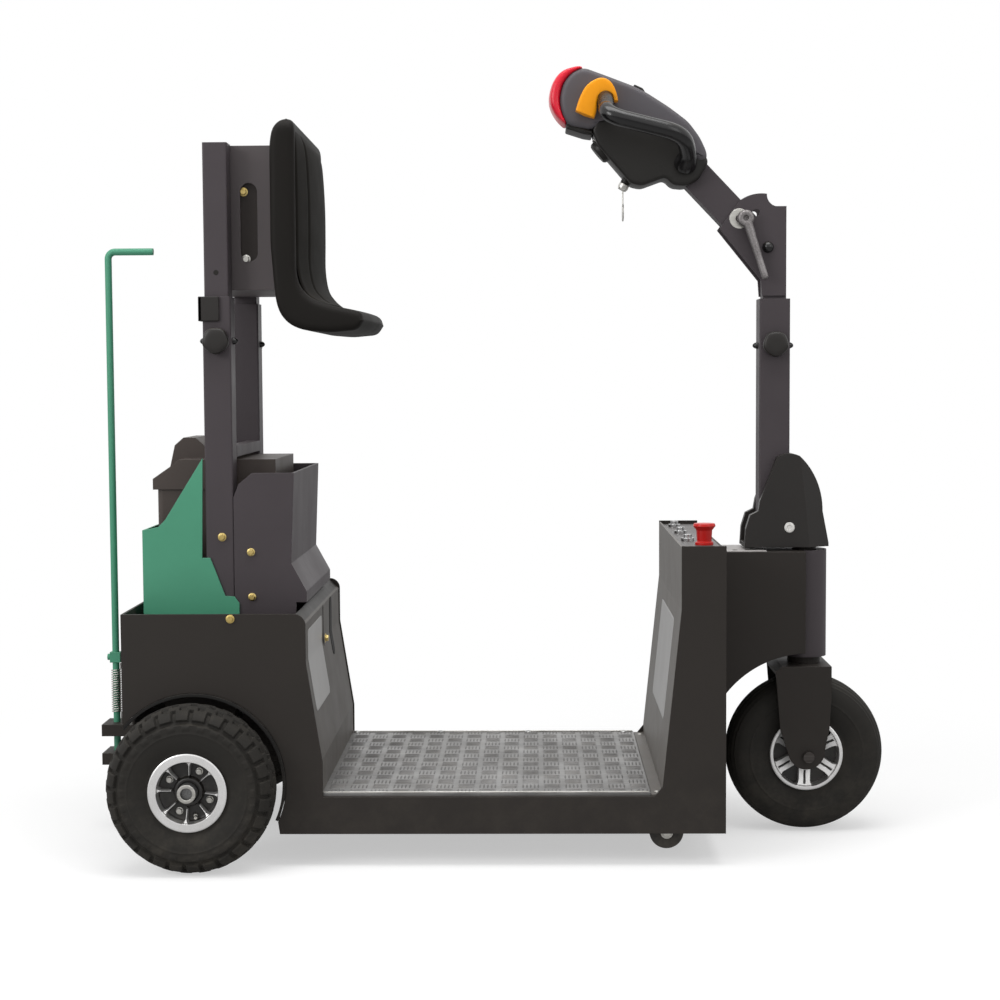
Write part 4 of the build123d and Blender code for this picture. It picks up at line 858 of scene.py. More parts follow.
def cast_face(radius, rib, groove, pocket, boss, pocket_r, ring_r, ring_steps):
    """Height of an outer face: boss, then pockets between sloping ribs, then the flat ring and its lip."""
    rib_top = SPOKE_LOW + (radius - pocket_r) / (ring_r - pocket_r) * SPOKE_RISE - groove
    well = pocket + (rib_top - pocket) * rib
    inner = boss + (well - boss) * step(radius, pocket_r - 0.0012, pocket_r + 0.0012)
    ring = LIP_OUT - LIP_DROP * step(radius, LIP_R - 0.0016, LIP_R)
    return inner + (ring - inner) * step(radius, ring_r - ring_steps[0], ring_r + ring_steps[1])


def rear_face(angle, radius):
    """Flat ring, eight thin ribs that widen into it, deep pockets, and a low boss round the shaft."""
    ring_r, pocket_r, hub_r, hub_face = 0.0492, 0.0235, 0.0172, 0.0265
    near_ring = np.clip((radius - 0.038) / (ring_r - 0.038), 0, 1)
    rib, _ = ribs(angle, radius, 8, np.radians(86.0), 0.0010 + 0.0042 * near_ring**3)
    pocket = 0.0200 + 0.003 * near_ring**4
    boss = 0.0290 - 0.0020 * step(radius, 0.0200, pocket_r)
    out = cast_face(radius, rib, 0.0, pocket, boss, pocket_r, ring_r, (0.0016, 0.0006))
    out = np.where(radius < hub_r, hub_face, out)
    high = step(out, pocket + 0.002, pocket + 0.005) * step(radius, 0.0440, 0.0450)
    silver = np.maximum(rib * step(radius, 0.0265, 0.0275), high)
    return out, 1 - silver


FRONT_HUB_HALF = 0.052
REAR_HUB_HALF = 0.027


def front_face(angle, radius):
    """Narrow bright ring and six wide spokes, each split by a groove."""
    ring_r, pocket_r, hub_r = 0.0560, 0.0270, 0.0194
    near_ring = np.clip((radius - 0.044) / (ring_r - 0.044), 0, 1)
    rib, off = ribs(angle, radius, 6, np.radians(-93.0), 0.0104 + 0.0040 * near_ring**3)
    groove = (1 - step(off, 0.0011, 0.0019)) * band(radius, (0.029, 0.031), (0.0515, 0.0530))
    out = cast_face(radius, rib, 0.0035 * groove, 0.0185, 0.0300, pocket_r, ring_r, (0.0012, 0.0008))
    out = np.where(radius < hub_r, FRONT_HUB_HALF, out)
    silver = np.maximum(rib * (1 - groove), step(radius, 0.0545, 0.0552))
    silver = np.maximum(silver, 1 - step(radius, pocket_r, pocket_r + 0.001))
    return out, 1 - silver


for side, sign in SIDES:
    make_wheel(
        f"cast_rim_{side}", (REAR_X, sign * REAR_Y, AXLE_Z), sign, f"rear_wheel_{side}",
        f"rear_rim_{side}", 0.0128, REAR_HUB_HALF, rear_face,
    )
make_wheel(
    "cast_rim_front", (FRONT_X, 0.0, AXLE_Z), -1, "front_wheel", "front_rim", 0.0083, FRONT_HUB_HALF,
    front_face,
)

# %% [markdown]
# ## Bolts
#
# Fasteners are small, but a machine without them looks like a toy. A hex
# head is a lathe shape whose radius follows a hexagon: at angle t its edge
# lies at half the width over the cosine of t folded into one sixth of a
# turn. A washer is a plain ring.

# %% Hex bolts and round heads
MM = 0.001


def at(*place):
    """A place in millimetres, as metres."""
    return np.array(place) * MM


def hex_head(centre, axis, across, high, washer=1.55, phase=0.0):
    """Hexagonal head on a washer: its radius at angle t is half the width over cos of t folded to a sixth."""
    axis, side, up = frame_about(axis)
    t = circle(48)
    fold = (t + np.pi / 6) % (np.pi / 3) - np.pi / 6
    hexagon = across / 2 / np.cos(fold)
    chamfer = np.full_like(t, across / 2 * 1.02 * 0.93)
    washer_r, base = across / 2 * washer, high * 0.22
    rows = ((0 * t, 0.0), (hexagon, 0.0), (hexagon, high * 0.82), (chamfer, high), (0 * t, high))
    spoke = np.cos(t + phase)[:, None] * side + np.sin(t + phase)[:, None] * up
    grid = [radius[:, None] * spoke + (along + base) * axis for radius, along in rows]
    head = np.asarray(centre) + np.stack(grid, axis=1)
    profile = ((0, 0), (washer_r, 0), (washer_r, base * 0.8), (washer_r * 0.95, base), (0, base))
    return [(head, True, False), turned(profile, centre, axis, 32)]


def dome_head(centre, axis, radius, high, rows=6):
    """Lathe skin of a round head: a quarter of an ellipse from the rim to the top."""
    t = np.linspace(0, np.pi / 2, rows)
    curve = [(0.0, 0.0), (radius, 0.0)] + [(radius * np.cos(a), high * np.sin(a)) for a in t[1:]]
    curve[-1] = (0.0, high)
    return turned(curve, centre, axis, 24)


def cluster(groups):
    """All the skins of several fasteners in one list."""
    return [skin for group in groups for skin in group]


WHEEL_BOLT_ANGLES = np.radians((62.0, 149.0, 244.0, 337.0))
WHEEL_BOLT_R = 0.0355
VALVE_ANGLE = np.radians(-76.0)
VALVE_R = 0.0385
STEM = ((0, 0), (0.0036, 0), (0.0036, 0.006), (0.0027, 0.0065), (0.0027, 0.012), (0, 0.0125))


def on_wheel(sign, angle, radius, across):
    """Place on a rear wheel at an angle and a radius, and a distance out from the wheel's middle."""
    return REAR_X + radius * np.cos(angle), sign * (REAR_Y + across), AXLE_Z + radius * np.sin(angle)


for side, sign in SIDES:
    heads = [
        hex_head(on_wheel(sign, angle, WHEEL_BOLT_R, 0.0200), (0, sign, 0), 0.0085, 0.005, 1.4, angle)
        for angle in WHEEL_BOLT_ANGLES
    ]
    stem = turned(STEM, on_wheel(sign, VALVE_ANGLE, VALVE_R, 0.0195), (0.2, sign, -0.35), 16)
    make_piece(f"wheel_bolts_{side}", cluster(heads) + [stem], f"rear_wheel_{side}", "bright_zinc")
print("wheel bolts done")

# %% [markdown]
# ## Moulded bodies
#
# The tiller head, its button and the speed wings are moulded plastic, so
# their edges are soft. Two surfaces cover them all. A *pillow* is a slab
# seen from the side: one closed line, the same all through, that rolls
# inwards near both sides. A *crescent* lies between an outer and an inner
# line, with a superellipse across, which is an oval with squarer corners.

# %% Lines and soft bodies
def from_mm(points, x=0.0, z=0.0):
    """Rows of (x, z) in millimetres from a local origin, as metres in the shared frame."""
    return (np.asarray(points, float) + (x, z)) * MM


def rounded(points, radius, closed=True, count=7):
    """Each corner C becomes (1-t)^2 A + 2t(1-t) C + t^2 B, where A and B lie a radius away on its runs."""
    p = np.asarray(points, float)
    t = np.linspace(0, 1, count)[None, :, None]
    ends = []
    for other in (np.roll(p, 1, axis=0), np.roll(p, -1, axis=0)):
        run = other - p
        length = np.linalg.norm(run, axis=1)[:, None]
        ends.append(p + run / length * np.minimum(radius, 0.48 * length))
    curve = (1 - t) ** 2 * ends[0][:, None] + 2 * t * (1 - t) * p[:, None] + t**2 * ends[1][:, None]
    if closed:
        return curve.reshape(-1, p.shape[1])
    inner = curve[1:-1].reshape(-1, p.shape[1])
    return np.concatenate((p[:1], inner, p[-1:]))


def across_y(flat, y):
    """Points of a side view (x, z) with a Y of their own."""
    return np.stack((flat[..., 0], np.broadcast_to(y, flat.shape[:-1]), flat[..., 1]), axis=-1)


def pillow(line, low_y, high_y, rim, crown=0.0, centre=None, steps=6, cap=(0.0, 0.4, 0.75, 0.94)):
    """Slab from low_y to high_y: near a side, at angle a, the line moves in by rim(1 - cos a) and out along Y
    by rim sin a. A cap is the last line shrunk to shares of its size about the centre, and stands
    crown(1 - share^2) higher."""
    a = np.linspace(0, np.pi / 2, steps)
    cap = np.asarray(cap)
    inset = np.concatenate((np.full(len(cap), rim), rim * (1 - np.cos(a[::-1]))))
    height = np.concatenate((crown * (1 - cap**2), -rim * (1 - np.sin(a[::-1]))))
    share = np.concatenate((cap, np.ones(steps)))
    inset = np.concatenate((inset, inset[::-1]))[:, None, None]
    share = np.concatenate((share, share[::-1]))[:, None, None]
    y = np.concatenate((low_y - height, high_y + height[::-1]))
    middle = np.mean(line, axis=0) if centre is None else np.asarray(centre)
    flat = middle + share * (line[None] + inset * into_line(line)[None] - middle)
    return across_y(flat, y[:, None]), False, True


def crescent(outer, inner, low_y, high_y, power, soft):
    """Body between two lines: across it |cos t|^(2/power) of the half gap and |sin t|^(2/power) of the half
    width. Within soft of an end it shrinks as a quarter circle does."""
    outer, inner = along_line(outer, 40), along_line(inner, 40)
    middle, half = (outer + inner) / 2, (outer - inner) / 2
    run = run_along(middle)
    near = np.clip(np.minimum(run, run[-1] - run) / soft, 0.0, 1.0)
    shrink = np.sqrt(1 - (1 - near) ** 2)[:, None]
    t = circle(28)
    up = np.sign(np.cos(t)) * np.abs(np.cos(t)) ** (2 / power)
    aside = np.sign(np.sin(t)) * np.abs(np.sin(t)) ** (2 / power)
    flat = middle[:, None] + half[:, None] * (shrink * up[None])[:, :, None]
    y = (low_y + high_y) / 2 + (high_y - low_y) / 2 * shrink * aside[None]
    return across_y(flat, y), False, True


print("soft bodies ready")

# %% [markdown]
# ## Tiller head
#
# The head is two mouldings that meet along a slanting seam: a grey upper
# shell that bulges into the red safety button, and a darker housing below
# that holds the key lock. Both are pillows. Their lines are written from
# the end of the tiller arm, as the CAD model has them.

# %% Head shell, lower housing and button
HEAD_X = 312.24
HEAD_Z = 1172.46
SHELL_HALF_Y = 0.0405
HOUSING_HALF_Y = 0.0375
BUTTON_HALF_Y = 0.038
SEAM = ((55, -26), (40, -28), (10, 14), (-114, 47), (-136, 27), (-177, 34))
SHELL_TOP = ((-151, 132), (-113, 118), (-66, 100), (-46, 90), (-7, 65), (26, 40), (46, 13), (58, -14))
SHELL_NOSE = ((-188, 56), (-191, 80), (-185, 106), (-170, 124))
HOUSING_TOP = ((-131, 42), (-112, 60), (14, 42), (42, 8), (53, -12))
HOUSING = (
    (60, -28), (43, -57), (22, -68), (0, -66), (-13, -53), (-52, -67), (-71, -63), (-127, 2), (-137, 26),
)
BUTTON_OUTER = (
    (-150, 135), (-166, 135), (-188, 129), (-203, 111), (-210, 86), (-208, 68), (-196, 48), (-180, 35),
)
BUTTON_INNER = ((-150, 131), (-168, 123), (-183, 106), (-189, 84), (-187, 60), (-178, 38))


def head_line(points, radius, closed=True):
    """A line of the head with rounded corners, from millimetres counted from the end of the arm."""
    return rounded(from_mm(points, HEAD_X, HEAD_Z), radius, closed)


shell = pillow(
    head_line(SHELL_TOP + SEAM + SHELL_NOSE, 0.011), -SHELL_HALF_Y, SHELL_HALF_Y, 0.009, crown=0.0015,
    centre=from_mm((-70, 50), HEAD_X, HEAD_Z),
)
head_shell = make_piece("head_shell", [shell], "tiller", "head_grey", sharp=60)
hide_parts("tiller_head")
housing = pillow(
    head_line(HOUSING_TOP + HOUSING, 0.007), -HOUSING_HALF_Y, HOUSING_HALF_Y, 0.006, crown=0.001,
    centre=from_mm((-40, -10), HEAD_X, HEAD_Z),
)
make_piece("head_housing", [housing], "tiller", "head_dark", sharp=60)
button = crescent(
    head_line(BUTTON_OUTER, 0.012, False), head_line(BUTTON_INNER, 0.012, False),
    -BUTTON_HALF_Y, BUTTON_HALF_Y, power=3.2, soft=0.008,
)
belly = make_piece("safety_button", [button], "tiller", "red_plastic", sharp=70)
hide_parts("belly_button")
print("head pieces:", head_shell.name, belly.name)

# %% Hinge ridge, ledge and lock under the head
RIDGE = ((-68, 97), (-65, 104.5), (-50, 97.5), (-44, 87), (-56, 85))
LEDGE = ((-180, 38), (-181, 30), (-150, 20), (-136, 18), (-136, 26))
DIAL_AXIS = (-0.76, 0.0, -0.65)
DIAL_SEAT = at(HEAD_X - 117, 0, HEAD_Z - 2)
DIAL = (
    (0, 0), (0.0235, 0), (0.0235, 0.004), (0.0205, 0.0045), (0.0195, 0.010), (0.0170, 0.0128), (0, 0.0135),
)
DIAL_RING = ((0.0236, -0.001), (0.0250, 0.0), (0.0250, 0.0015), (0.0236, 0.0025), (0.0236, -0.001))
make_piece("head_trim", [
    pillow(head_line(RIDGE, 0.003), -0.026, 0.026, 0.002),
    pillow(head_line(LEDGE, 0.003), -0.036, 0.036, 0.003),
    turned(DIAL, DIAL_SEAT, DIAL_AXIS, 40),
], "tiller", "head_dark", sharp=40)

KEY_X = 229.0
LOCK_TOP = at(KEY_X + 17, 0, 1140)
LOCK_AXIS = (-0.447, 0.0, -0.894)
BARREL = ((0, 0), (0.0105, 0), (0.0105, 0.016), (0.0082, 0.018), (0.0082, 0.030), (0, 0.030))
BEZEL = ((0, 0.0302), (0.0070, 0.0302), (0.0088, 0.0320), (0.0090, 0.0380), (0.0070, 0.0425), (0, 0.0435))
make_piece("lock_barrel", [turned(BARREL, LOCK_TOP, LOCK_AXIS, 32)], "tiller", "head_dark", sharp=40)

# The key: a round bow, a neck up into the lock, and a pillow through both, turned to face forward.
BOW_Z = 1064.0
BOW_WIDE, BOW_TALL = 17.0, 15.0
NECK_HALF, NECK_TOP_Z, KEY_HALF_THICK = 2.6, 1110, 0.0011
bow = [
    (BOW_WIDE * np.cos(a), BOW_Z + BOW_TALL * np.sin(a))
    for a in np.linspace(np.radians(105), np.radians(435), 40)
]
neck = [(NECK_HALF, BOW_Z + 30), (NECK_HALF, NECK_TOP_Z), (-NECK_HALF, NECK_TOP_Z), (-NECK_HALF, BOW_Z + 30)]
key_line = from_mm(bow + neck)
key_skin, wrap_u, wrap_v = pillow(
    key_line, -KEY_HALF_THICK, KEY_HALF_THICK, 0.0005, centre=at(0, BOW_Z), steps=4,
)
key_skin = np.stack((KEY_X * MM + key_skin[..., 1], key_skin[..., 0], key_skin[..., 2]), axis=-1)
key_piece = make_piece("key_blade", [(key_skin, wrap_u, wrap_v)], "tiller", "bright_zinc", sharp=40)
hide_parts("key")
lock_rings = [turned(BEZEL, LOCK_TOP, LOCK_AXIS, 40), turned(DIAL_RING, DIAL_SEAT, DIAL_AXIS, 40)]
make_piece("lock_rings", lock_rings, "tiller", "bright_zinc")
print("trim under the head done")

# %% Speed wings
WING_OUTER = ((-93, 68), (-97, 89), (-107, 106), (-123, 112), (-146, 100), (-158, 79), (-166, 53))
WING_INNER = ((-101, 70), (-102, 82), (-113, 87), (-124, 83), (-129, 71), (-129, 57), (-134, 42))
WING_Y = 0.054
WING_HALF = 0.0115
wings = [
    crescent(
        head_line(WING_OUTER, 0.012, False), head_line(WING_INNER, 0.006, False),
        sign * WING_Y - WING_HALF, sign * WING_Y + WING_HALF, power=7.0, soft=0.003,
    )
    for sign in (-1, 1)
]
wing_piece = make_piece("wings", wings, "tiller", "yellow_plastic", sharp=60)
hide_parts("speed_wings")
print("wings done")

# %% [markdown]
# ## Hand loops
#
# Each hand holds a loop of hard black plastic that starts inside the wing,
# slopes outwards, turns forward and comes back to the head with a wide
# foot. A tube along a rounded route gives it. Its radius is a function of
# the distance along the route: it swells into the foot, and on the grip it
# carries fine ribs for the palm.

# %% Loops as tubes of changing radius
GRIP_R = 0.0125
GUARD_R = 0.0140
FOOT_R = 0.0190
RIDGE_HIGH = 0.0008
RIDGE_PITCH = 0.004
LOOP_ROUTE = ((-115, 38, 88), (-115, 135, 38.5), (10, 110, 10), (24, 66, -16), (20, 38, -32))


def hand_loop(sign):
    """Tube along a rounded route: the grip's radius and its ribs, then the guard's, then a widening foot."""
    route = np.array(LOOP_ROUTE, float) * (1, sign, 1) + (HEAD_X, 0, HEAD_Z)
    route = along_line(rounded(route * MM, 0.030, closed=False, count=12), 200)
    run = np.linspace(0.0, 1.0, 200) * np.sum(np.linalg.norm(np.diff(route, axis=0), axis=1))
    on_grip = band(run, (0.026, 0.028), (0.074, 0.076))
    ridge = RIDGE_HIGH * on_grip * (0.5 + 0.5 * np.cos(run / RIDGE_PITCH * 2 * np.pi))
    foot = (FOOT_R - GUARD_R) * step(run, run[-1] - 0.034, run[-1] - 0.004)
    thick = GRIP_R + (GUARD_R - GRIP_R) * step(run, 0.074, 0.090)
    return tube(route, thick + ridge + foot, 28, up=(0.35, 0.0, 1.0))


loops = make_piece("loops", [hand_loop(-1), hand_loop(1)], "tiller", "gloss_black", sharp=70)
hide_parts("hand_loops")
print("loops done")

# %% [markdown]
# ## Clamp lever
#
# A cast lever locks the tiller's tilt. Its hub is a lathe shape with a round
# recess, and its handle is a tube whose radius tapers and then swells at
# the tip. Behind the hub lies a bright washer that covers the slot.

# %% Lever and washer
CLAMP = at(435.0, -24.3, 1050.0)
LEVER_TIP = at(469.0, -38.0, 947.0)
LEVER_HUB = (
    (0.0050, 0.011), (0.0050, 0.0175), (0.0088, 0.0185), (0.0120, 0.0178), (0.0138, 0.0155), (0.0143, 0.010),
    (0.0130, 0.0), (0.0, 0.0), (0.0, 0.011), (0.0050, 0.011),
)
SLOT_WASHER = (
    (0.0065, -0.0012), (0.0170, -0.0012), (0.0170, 0.0), (0.0165, 0.0004), (0.0065, 0.0004),
    (0.0065, -0.0012),
)
HANDLE_R = 0.0084
HANDLE_TAPER = 0.0040
HANDLE_SWELL = 0.0012
TIP_FROM = 0.95
span = np.linspace(0.0, 1.0, 40)
start = CLAMP + (0.003, -0.0125, -0.008)
handle_r = HANDLE_R - HANDLE_TAPER * span + HANDLE_SWELL * step(span, 0.55, TIP_FROM)
handle_r *= np.sqrt(np.clip(1 - np.clip((span - TIP_FROM) / 0.052, 0, 1) ** 2, 0.05, 1))
handle = tube(start + span[:, None] * (LEVER_TIP - start), handle_r, 20)
lever_piece = make_piece(
    "lever", [turned(LEVER_HUB, CLAMP, (0, -1, 0), 40), handle], "tiller", "grey_casting", sharp=50,
)
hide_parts("clamp_lever")
washer = turned(SLOT_WASHER, CLAMP + (-0.0095, 0.0003, 0.0005), (0, -1, 0), 40)
make_piece("clamp_washer", [washer], "tiller", "bright_zinc")
print("lever done")

# %% [markdown]
# ## Seat pad
#
# The rider leans on a thick foam pad with a tight vinyl cover. Foam that
# is stretched over a board is highest in the middle, falls off towards the
# sides, and is pinched where the cover is sewn. So the pad is written as a
# thickness over its board: a profile down the seat, times a crown across
# it, less a narrow valley along each of the two seams. A simulation would
# only round it off further, and the real cover has hardly any slack.

# %% Pad as a thickness over its board
SEAT_X = -349.0
SEAT_TOP_Z = 1203.0
PAD_HALF = 0.186
PAD_EDGE = 0.006
PAD_BACK = 0.004
SEAM_Y = 0.120
SEAM_DEEP = 0.0030
SEAM_WIDE = 0.0045
SKIN_LEAST = 0.0008
BOARD = (
    (40, -20), (40.5, -50), (40.5, -110), (40.5, -180), (41.5, -240), (52.5, -277), (70, -292), (90, -299),
)
FACE = (
    (43, -20), (54, -38), (59, -72), (62, -125), (62, -180), (61.5, -226), (66, -262), (78, -283),
    (92, -296.5),
)
PAD_ROWS = 120
PAD_COLUMNS = 150

down = np.linspace(0.0, 1.0, PAD_ROWS)
board, face = (
    along_line(smooth_through(from_mm(line, SEAT_X, SEAT_TOP_Z), 400), PAD_ROWS) for line in (BOARD, FACE)
)
y = PAD_HALF * np.sin(np.linspace(-np.pi / 2, np.pi / 2, PAD_COLUMNS))
edge = np.clip((PAD_HALF - np.abs(y)) / PAD_EDGE, 0.0, 1.0)
crown = (1 - 0.86 * (np.abs(y) / PAD_HALF) ** 2.2) * np.sqrt(1 - (1 - edge) ** 2)
valley = SEAM_DEEP * np.exp(-(((np.abs(y) - SEAM_Y) / SEAM_WIDE) ** 2))
lift = face - board
deep = np.linalg.norm(lift, axis=1)[:, None]
high = np.maximum(deep * crown[None] - valley[None] * step(deep, 0.0, 0.012), SKIN_LEAST)
front = board[:, None] + lift[:, None] / deep[:, :, None] * high[:, :, None]
behind = board - (PAD_BACK, 0.0) * (1 - step(down, 0.68, 0.74))[:, None]
behind = np.broadcast_to(behind[:, None], front.shape)
skin = np.concatenate((across_y(front, y), across_y(behind, y)[::-1]), axis=0)
pad = make_piece("lean_pad", [(skin, True, False)], "seat", "seat_vinyl", sharp=50)
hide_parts("seat_pad")
print("pad", len(pad.data.polygons), "faces")

# %% [markdown]
# ## Seat shell
#
# The shell is one thick moulding: an upright back that turns forward into
# a short ledge. Two lines give its thickness, one down the back and one
# down the front, and they meet at both tips. Every point of the shell is
# written as a share of the way between them, so rounding a long edge only
# means letting that share follow a quarter circle. Seen from above, the
# front of the ledge is bowed: a last step pulls it back by the square of Y.

# %% Shell between its back and front lines
SHELL_BACK = (
    (27, 0), (15, -3), (4, -18), (0, -43), (0, -203), (5, -268), (8, -296), (15, -316), (30, -332),
    (52, -341), (97, -345), (150, -341), (161, -326),
)
SHELL_FRONT = (
    (27, 0), (37, -3), (41, -14), (41, -243), (44, -262), (53, -279), (69, -292), (92, -300), (145, -309),
    (157, -313), (161, -326),
)
SHELL_HALF = 0.200
SHELL_RIM = 0.012
TOP_CORNER = 0.022
BEND_X = 0.090
LEDGE_X = 0.161
LEDGE_BOW = 0.012
STATIONS = 120
back, front = (
    along_line(rounded(from_mm(line), 0.012, closed=False), STATIONS) for line in (SHELL_BACK, SHELL_FRONT)
)
thick = np.maximum(np.linalg.norm(front - back, axis=1), 1e-6)
turn = np.linspace(0, np.pi / 2, 7)[1:]
flat_y = np.linspace(-1, 1, 33) * (SHELL_HALF - SHELL_RIM)
edge_y = SHELL_HALF - SHELL_RIM + SHELL_RIM * np.sin(turn)
y = np.concatenate((flat_y, edge_y, edge_y[::-1], flat_y[::-1], -edge_y, -edge_y[::-1]))
sink = np.minimum(SHELL_RIM * (1 - np.cos(turn))[None] / thick[:, None], 0.5)
flush = np.zeros((STATIONS, len(flat_y)))
share = np.concatenate((1 - flush, 1 - sink, sink[:, ::-1], flush, sink, 1 - sink[:, ::-1]), axis=1)
flat = back[:, None] + share[:, :, None] * (front - back)[:, None]
below_top = np.clip(1 + flat[..., 1] / TOP_CORNER, 0, 1)
narrow = TOP_CORNER * (1 - np.sqrt(1 - below_top**2))
y = y[None] * (1 - narrow / SHELL_HALF)
reach = np.abs(y) / SHELL_HALF
beyond = np.clip((flat[..., 0] - BEND_X) / (LEDGE_X - BEND_X), 0, None)
flat[..., 0] -= beyond * (LEDGE_BOW * reach**2)
shell_skin = across_y(flat + at(SEAT_X, SEAT_TOP_Z), y)
lean_shell = make_piece(
    "lean_shell", [(shell_skin, False, True)], "seat", "shell_plastic", sharp=60, weld=1e-6,
)
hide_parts("seat_shell")
print("shell", len(lean_shell.data.polygons), "faces")

# %% [markdown]
# ## Return spring
#
# A tension spring pulls the tow pin down again after it has been lifted.
# Its wire is a helix with a short straight run at each end. The wire
# is a tube, so only its route has to be written: the angle grows evenly,
# and the height grows with it. The upper end rides with the pin and the
# lower end stays with the frame; the piece is taken off the chassis with
# its place baked into its mesh.

# %% Helix with straight ends
PIN_X = -0.656
SPRING_LOW = 0.1875
SPRING_HIGH = 0.2915
WIRE_R = 0.0011
COIL_MID_R = 0.0078
TURNS = 19
COIL_LOW = SPRING_LOW + 0.016
COIL_HIGH = SPRING_HIGH - 0.012

share = np.linspace(0.0, 1.0, TURNS * 20)
angle = share * TURNS * 2 * np.pi
winding = np.stack((
    PIN_X + COIL_MID_R * np.cos(angle), COIL_MID_R * np.sin(angle), COIL_LOW + share * (COIL_HIGH - COIL_LOW)
), axis=1)
straight = np.linspace(0.0, 1.0, 8)[:, None]
side = np.array((PIN_X + COIL_MID_R, 0.0, 0.0))
low_leg, high_leg = (
    side + (0, 0, low + WIRE_R) + straight * (0, 0, high - low - 2 * WIRE_R)
    for low, high in ((SPRING_LOW, COIL_LOW), (COIL_HIGH, SPRING_HIGH))
)
wire_skin = tube(np.concatenate((low_leg, winding, high_leg)), WIRE_R, 8, up=(0.31, 0.2, 1.0))
spring = make_piece("spring", [wire_skin], "chassis", "bright_zinc", sharp=80)
spring.parent = None
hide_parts("return_spring")
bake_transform(spring)
print("spring", len(spring.data.polygons), "faces")

# %% [markdown]
# ## Small fasteners and fittings
#
# The photograph shows brass-coloured and bright zinc hex bolts on the seat
# frame, round heads along the deck, and plain studs through the tubes. Each
# table row holds a place in millimetres. Where the machine is the same on
# both sides, the row is used twice, once with the other sign of Y.

# %% Hex bolts on the seat frame and the side plates
FRAME_BOLTS = (
    # x, distance from the middle, z, width across the flats
    (-437.0, 175.0, 525.0, 9.0),
    (-390.0, 175.0, 500.0, 8.5),
    (-389.0, 175.0, 426.0, 8.5),
    (-411.0, 266.0, 401.5, 9.0),
)
frame_bolts = [
    hex_head(at(x, sign * y, z), (0, sign, 0), across * MM, 0.0048, phase=0.3 * k)
    for k, (x, y, z, across) in enumerate(FRAME_BOLTS) for sign in (-1, 1)
]
make_piece("frame_bolts", cluster(frame_bolts), "chassis", "brass_zinc")

# Dark sheets in the bracket's slots are painted shade of the recess; the bolts sit on them.
SLOT_SHADE_Y = 127.6
SLOT_SHADE = ((-412, 966), (-412, 1118), (-368, 1118), (-368, 966))
BRACKET_BOLTS = ((-401.0, 1091.0, "brass_zinc"), (-398.0, 981.0, "bright_zinc"))
for x, z, paint in BRACKET_BOLTS:
    heads = [hex_head(at(x, sign * SLOT_SHADE_Y, z), (0, sign, 0), 0.0095, 0.004, phase=0.2) for sign in (-1, 1)]
    make_piece(f"bracket_bolts_{int(z)}", cluster(heads), "seat", paint)
slot_shades = [
    pillow(rounded(from_mm(SLOT_SHADE), 0.002), low, low + 0.003, 0.0006)
    for low in (-SLOT_SHADE_Y * MM, SLOT_SHADE_Y * MM - 0.003)
]
make_piece("bracket_slot_shades", slot_shades, "seat", "bracket_inside")
print("frame bolts", len(frame_bolts))

# %% Round heads along the deck
DECK_HEADS = ((253, (-261, -103, 62, 242)), (-251, (-98, 75, 237)))
DECK_Z = 118.0
heads = [
    dome_head(at(x, y, DECK_Z), (0, 0, 1), 0.0062, 0.0032) for y, row in DECK_HEADS for x in row
]
make_piece("deck_bolts", heads, "chassis", "zinc")
print("deck bolts", len(heads))

# %% Studs through the masts and the column
MAST_X = -441.0
MAST_Y = 152.0
MAST_HALF = 23.0
STUD_Z = 846.0
COLUMN_X = 486.0
COLUMN_HALF = 26.0
HOLE_SHADE = ((0, 0), (0.0042, 0), (0.0042, 0.0002), (0, 0.0002))
studs = [
    dome_head(at(MAST_X + way * MAST_HALF, sign * MAST_Y, STUD_Z), (way, 0, 0), 0.0058, 0.0085)
    for way in (-1, 1) for sign in (-1, 1)
]
make_piece("mast_studs", studs, "chassis", "gloss_black")
column_studs = [
    dome_head(at(COLUMN_X + way * COLUMN_HALF, 0, 836), (way, 0, 0), 0.0058, 0.009) for way in (-1, 1)
]
make_piece("column_studs", column_studs, "steering", "gloss_black")
# Thin dark discs: painted shade standing for the index holes.
hole_shades = [turned(HOLE_SHADE, at(MAST_X, sign * 172, 957), (0, sign, 0), 24) for sign in (-1, 1)]
make_piece("index_hole_shades", hole_shades, "seat", "tyre")
print("studs done")

# %% Index knobs
KNOB = (
    (0.0, 0.0), (0.0130, 0.0), (0.0150, 0.002), (0.0190, 0.0055), (0.0205, 0.010), (0.0203, 0.0155),
    (0.0180, 0.0188), (0.0120, 0.0200), (0.0, 0.0202),
)
BLOCK_OUT, BLOCK_IN = 0.180, 0.152
BLOCK_SIDE = ((-470, 878), (-470, 918), (-436, 918), (-436, 878))
BLOCK_BACK = ((-470, 878), (-470, 918), (-464.3, 918), (-464.3, 878))


def index_knob(centre, axis):
    """Five-lobed hand knob: the radius of a domed lathe shape times 1.04 - 0.03 sin 5t."""
    profile = smooth_through(KNOB, 30)
    profile[0], profile[-1] = KNOB[0], KNOB[-1]
    skin, wrap_u, wrap_v = turned(profile, (0, 0, 0), axis, 80)
    lobe = 0.04 - 0.03 * np.sin(5 * circle(80))
    lobes = 1 + lobe[:, None, None] * np.clip(profile[:, 0] / 0.02, 0, 1)[None, :, None] ** 2
    along = (skin @ np.asarray(axis, float))[..., None] * np.asarray(axis, float)
    return (skin - along) * lobes + along + np.asarray(centre), wrap_u, wrap_v


def block(corners, radius, wide, rim):
    """A clamp block's wall beside each mast: a pillow of the same corners at -Y and at +Y."""
    line = rounded(from_mm(corners), radius)
    return [pillow(line, low, low + wide, rim) for low in (-BLOCK_OUT, BLOCK_OUT - wide)]


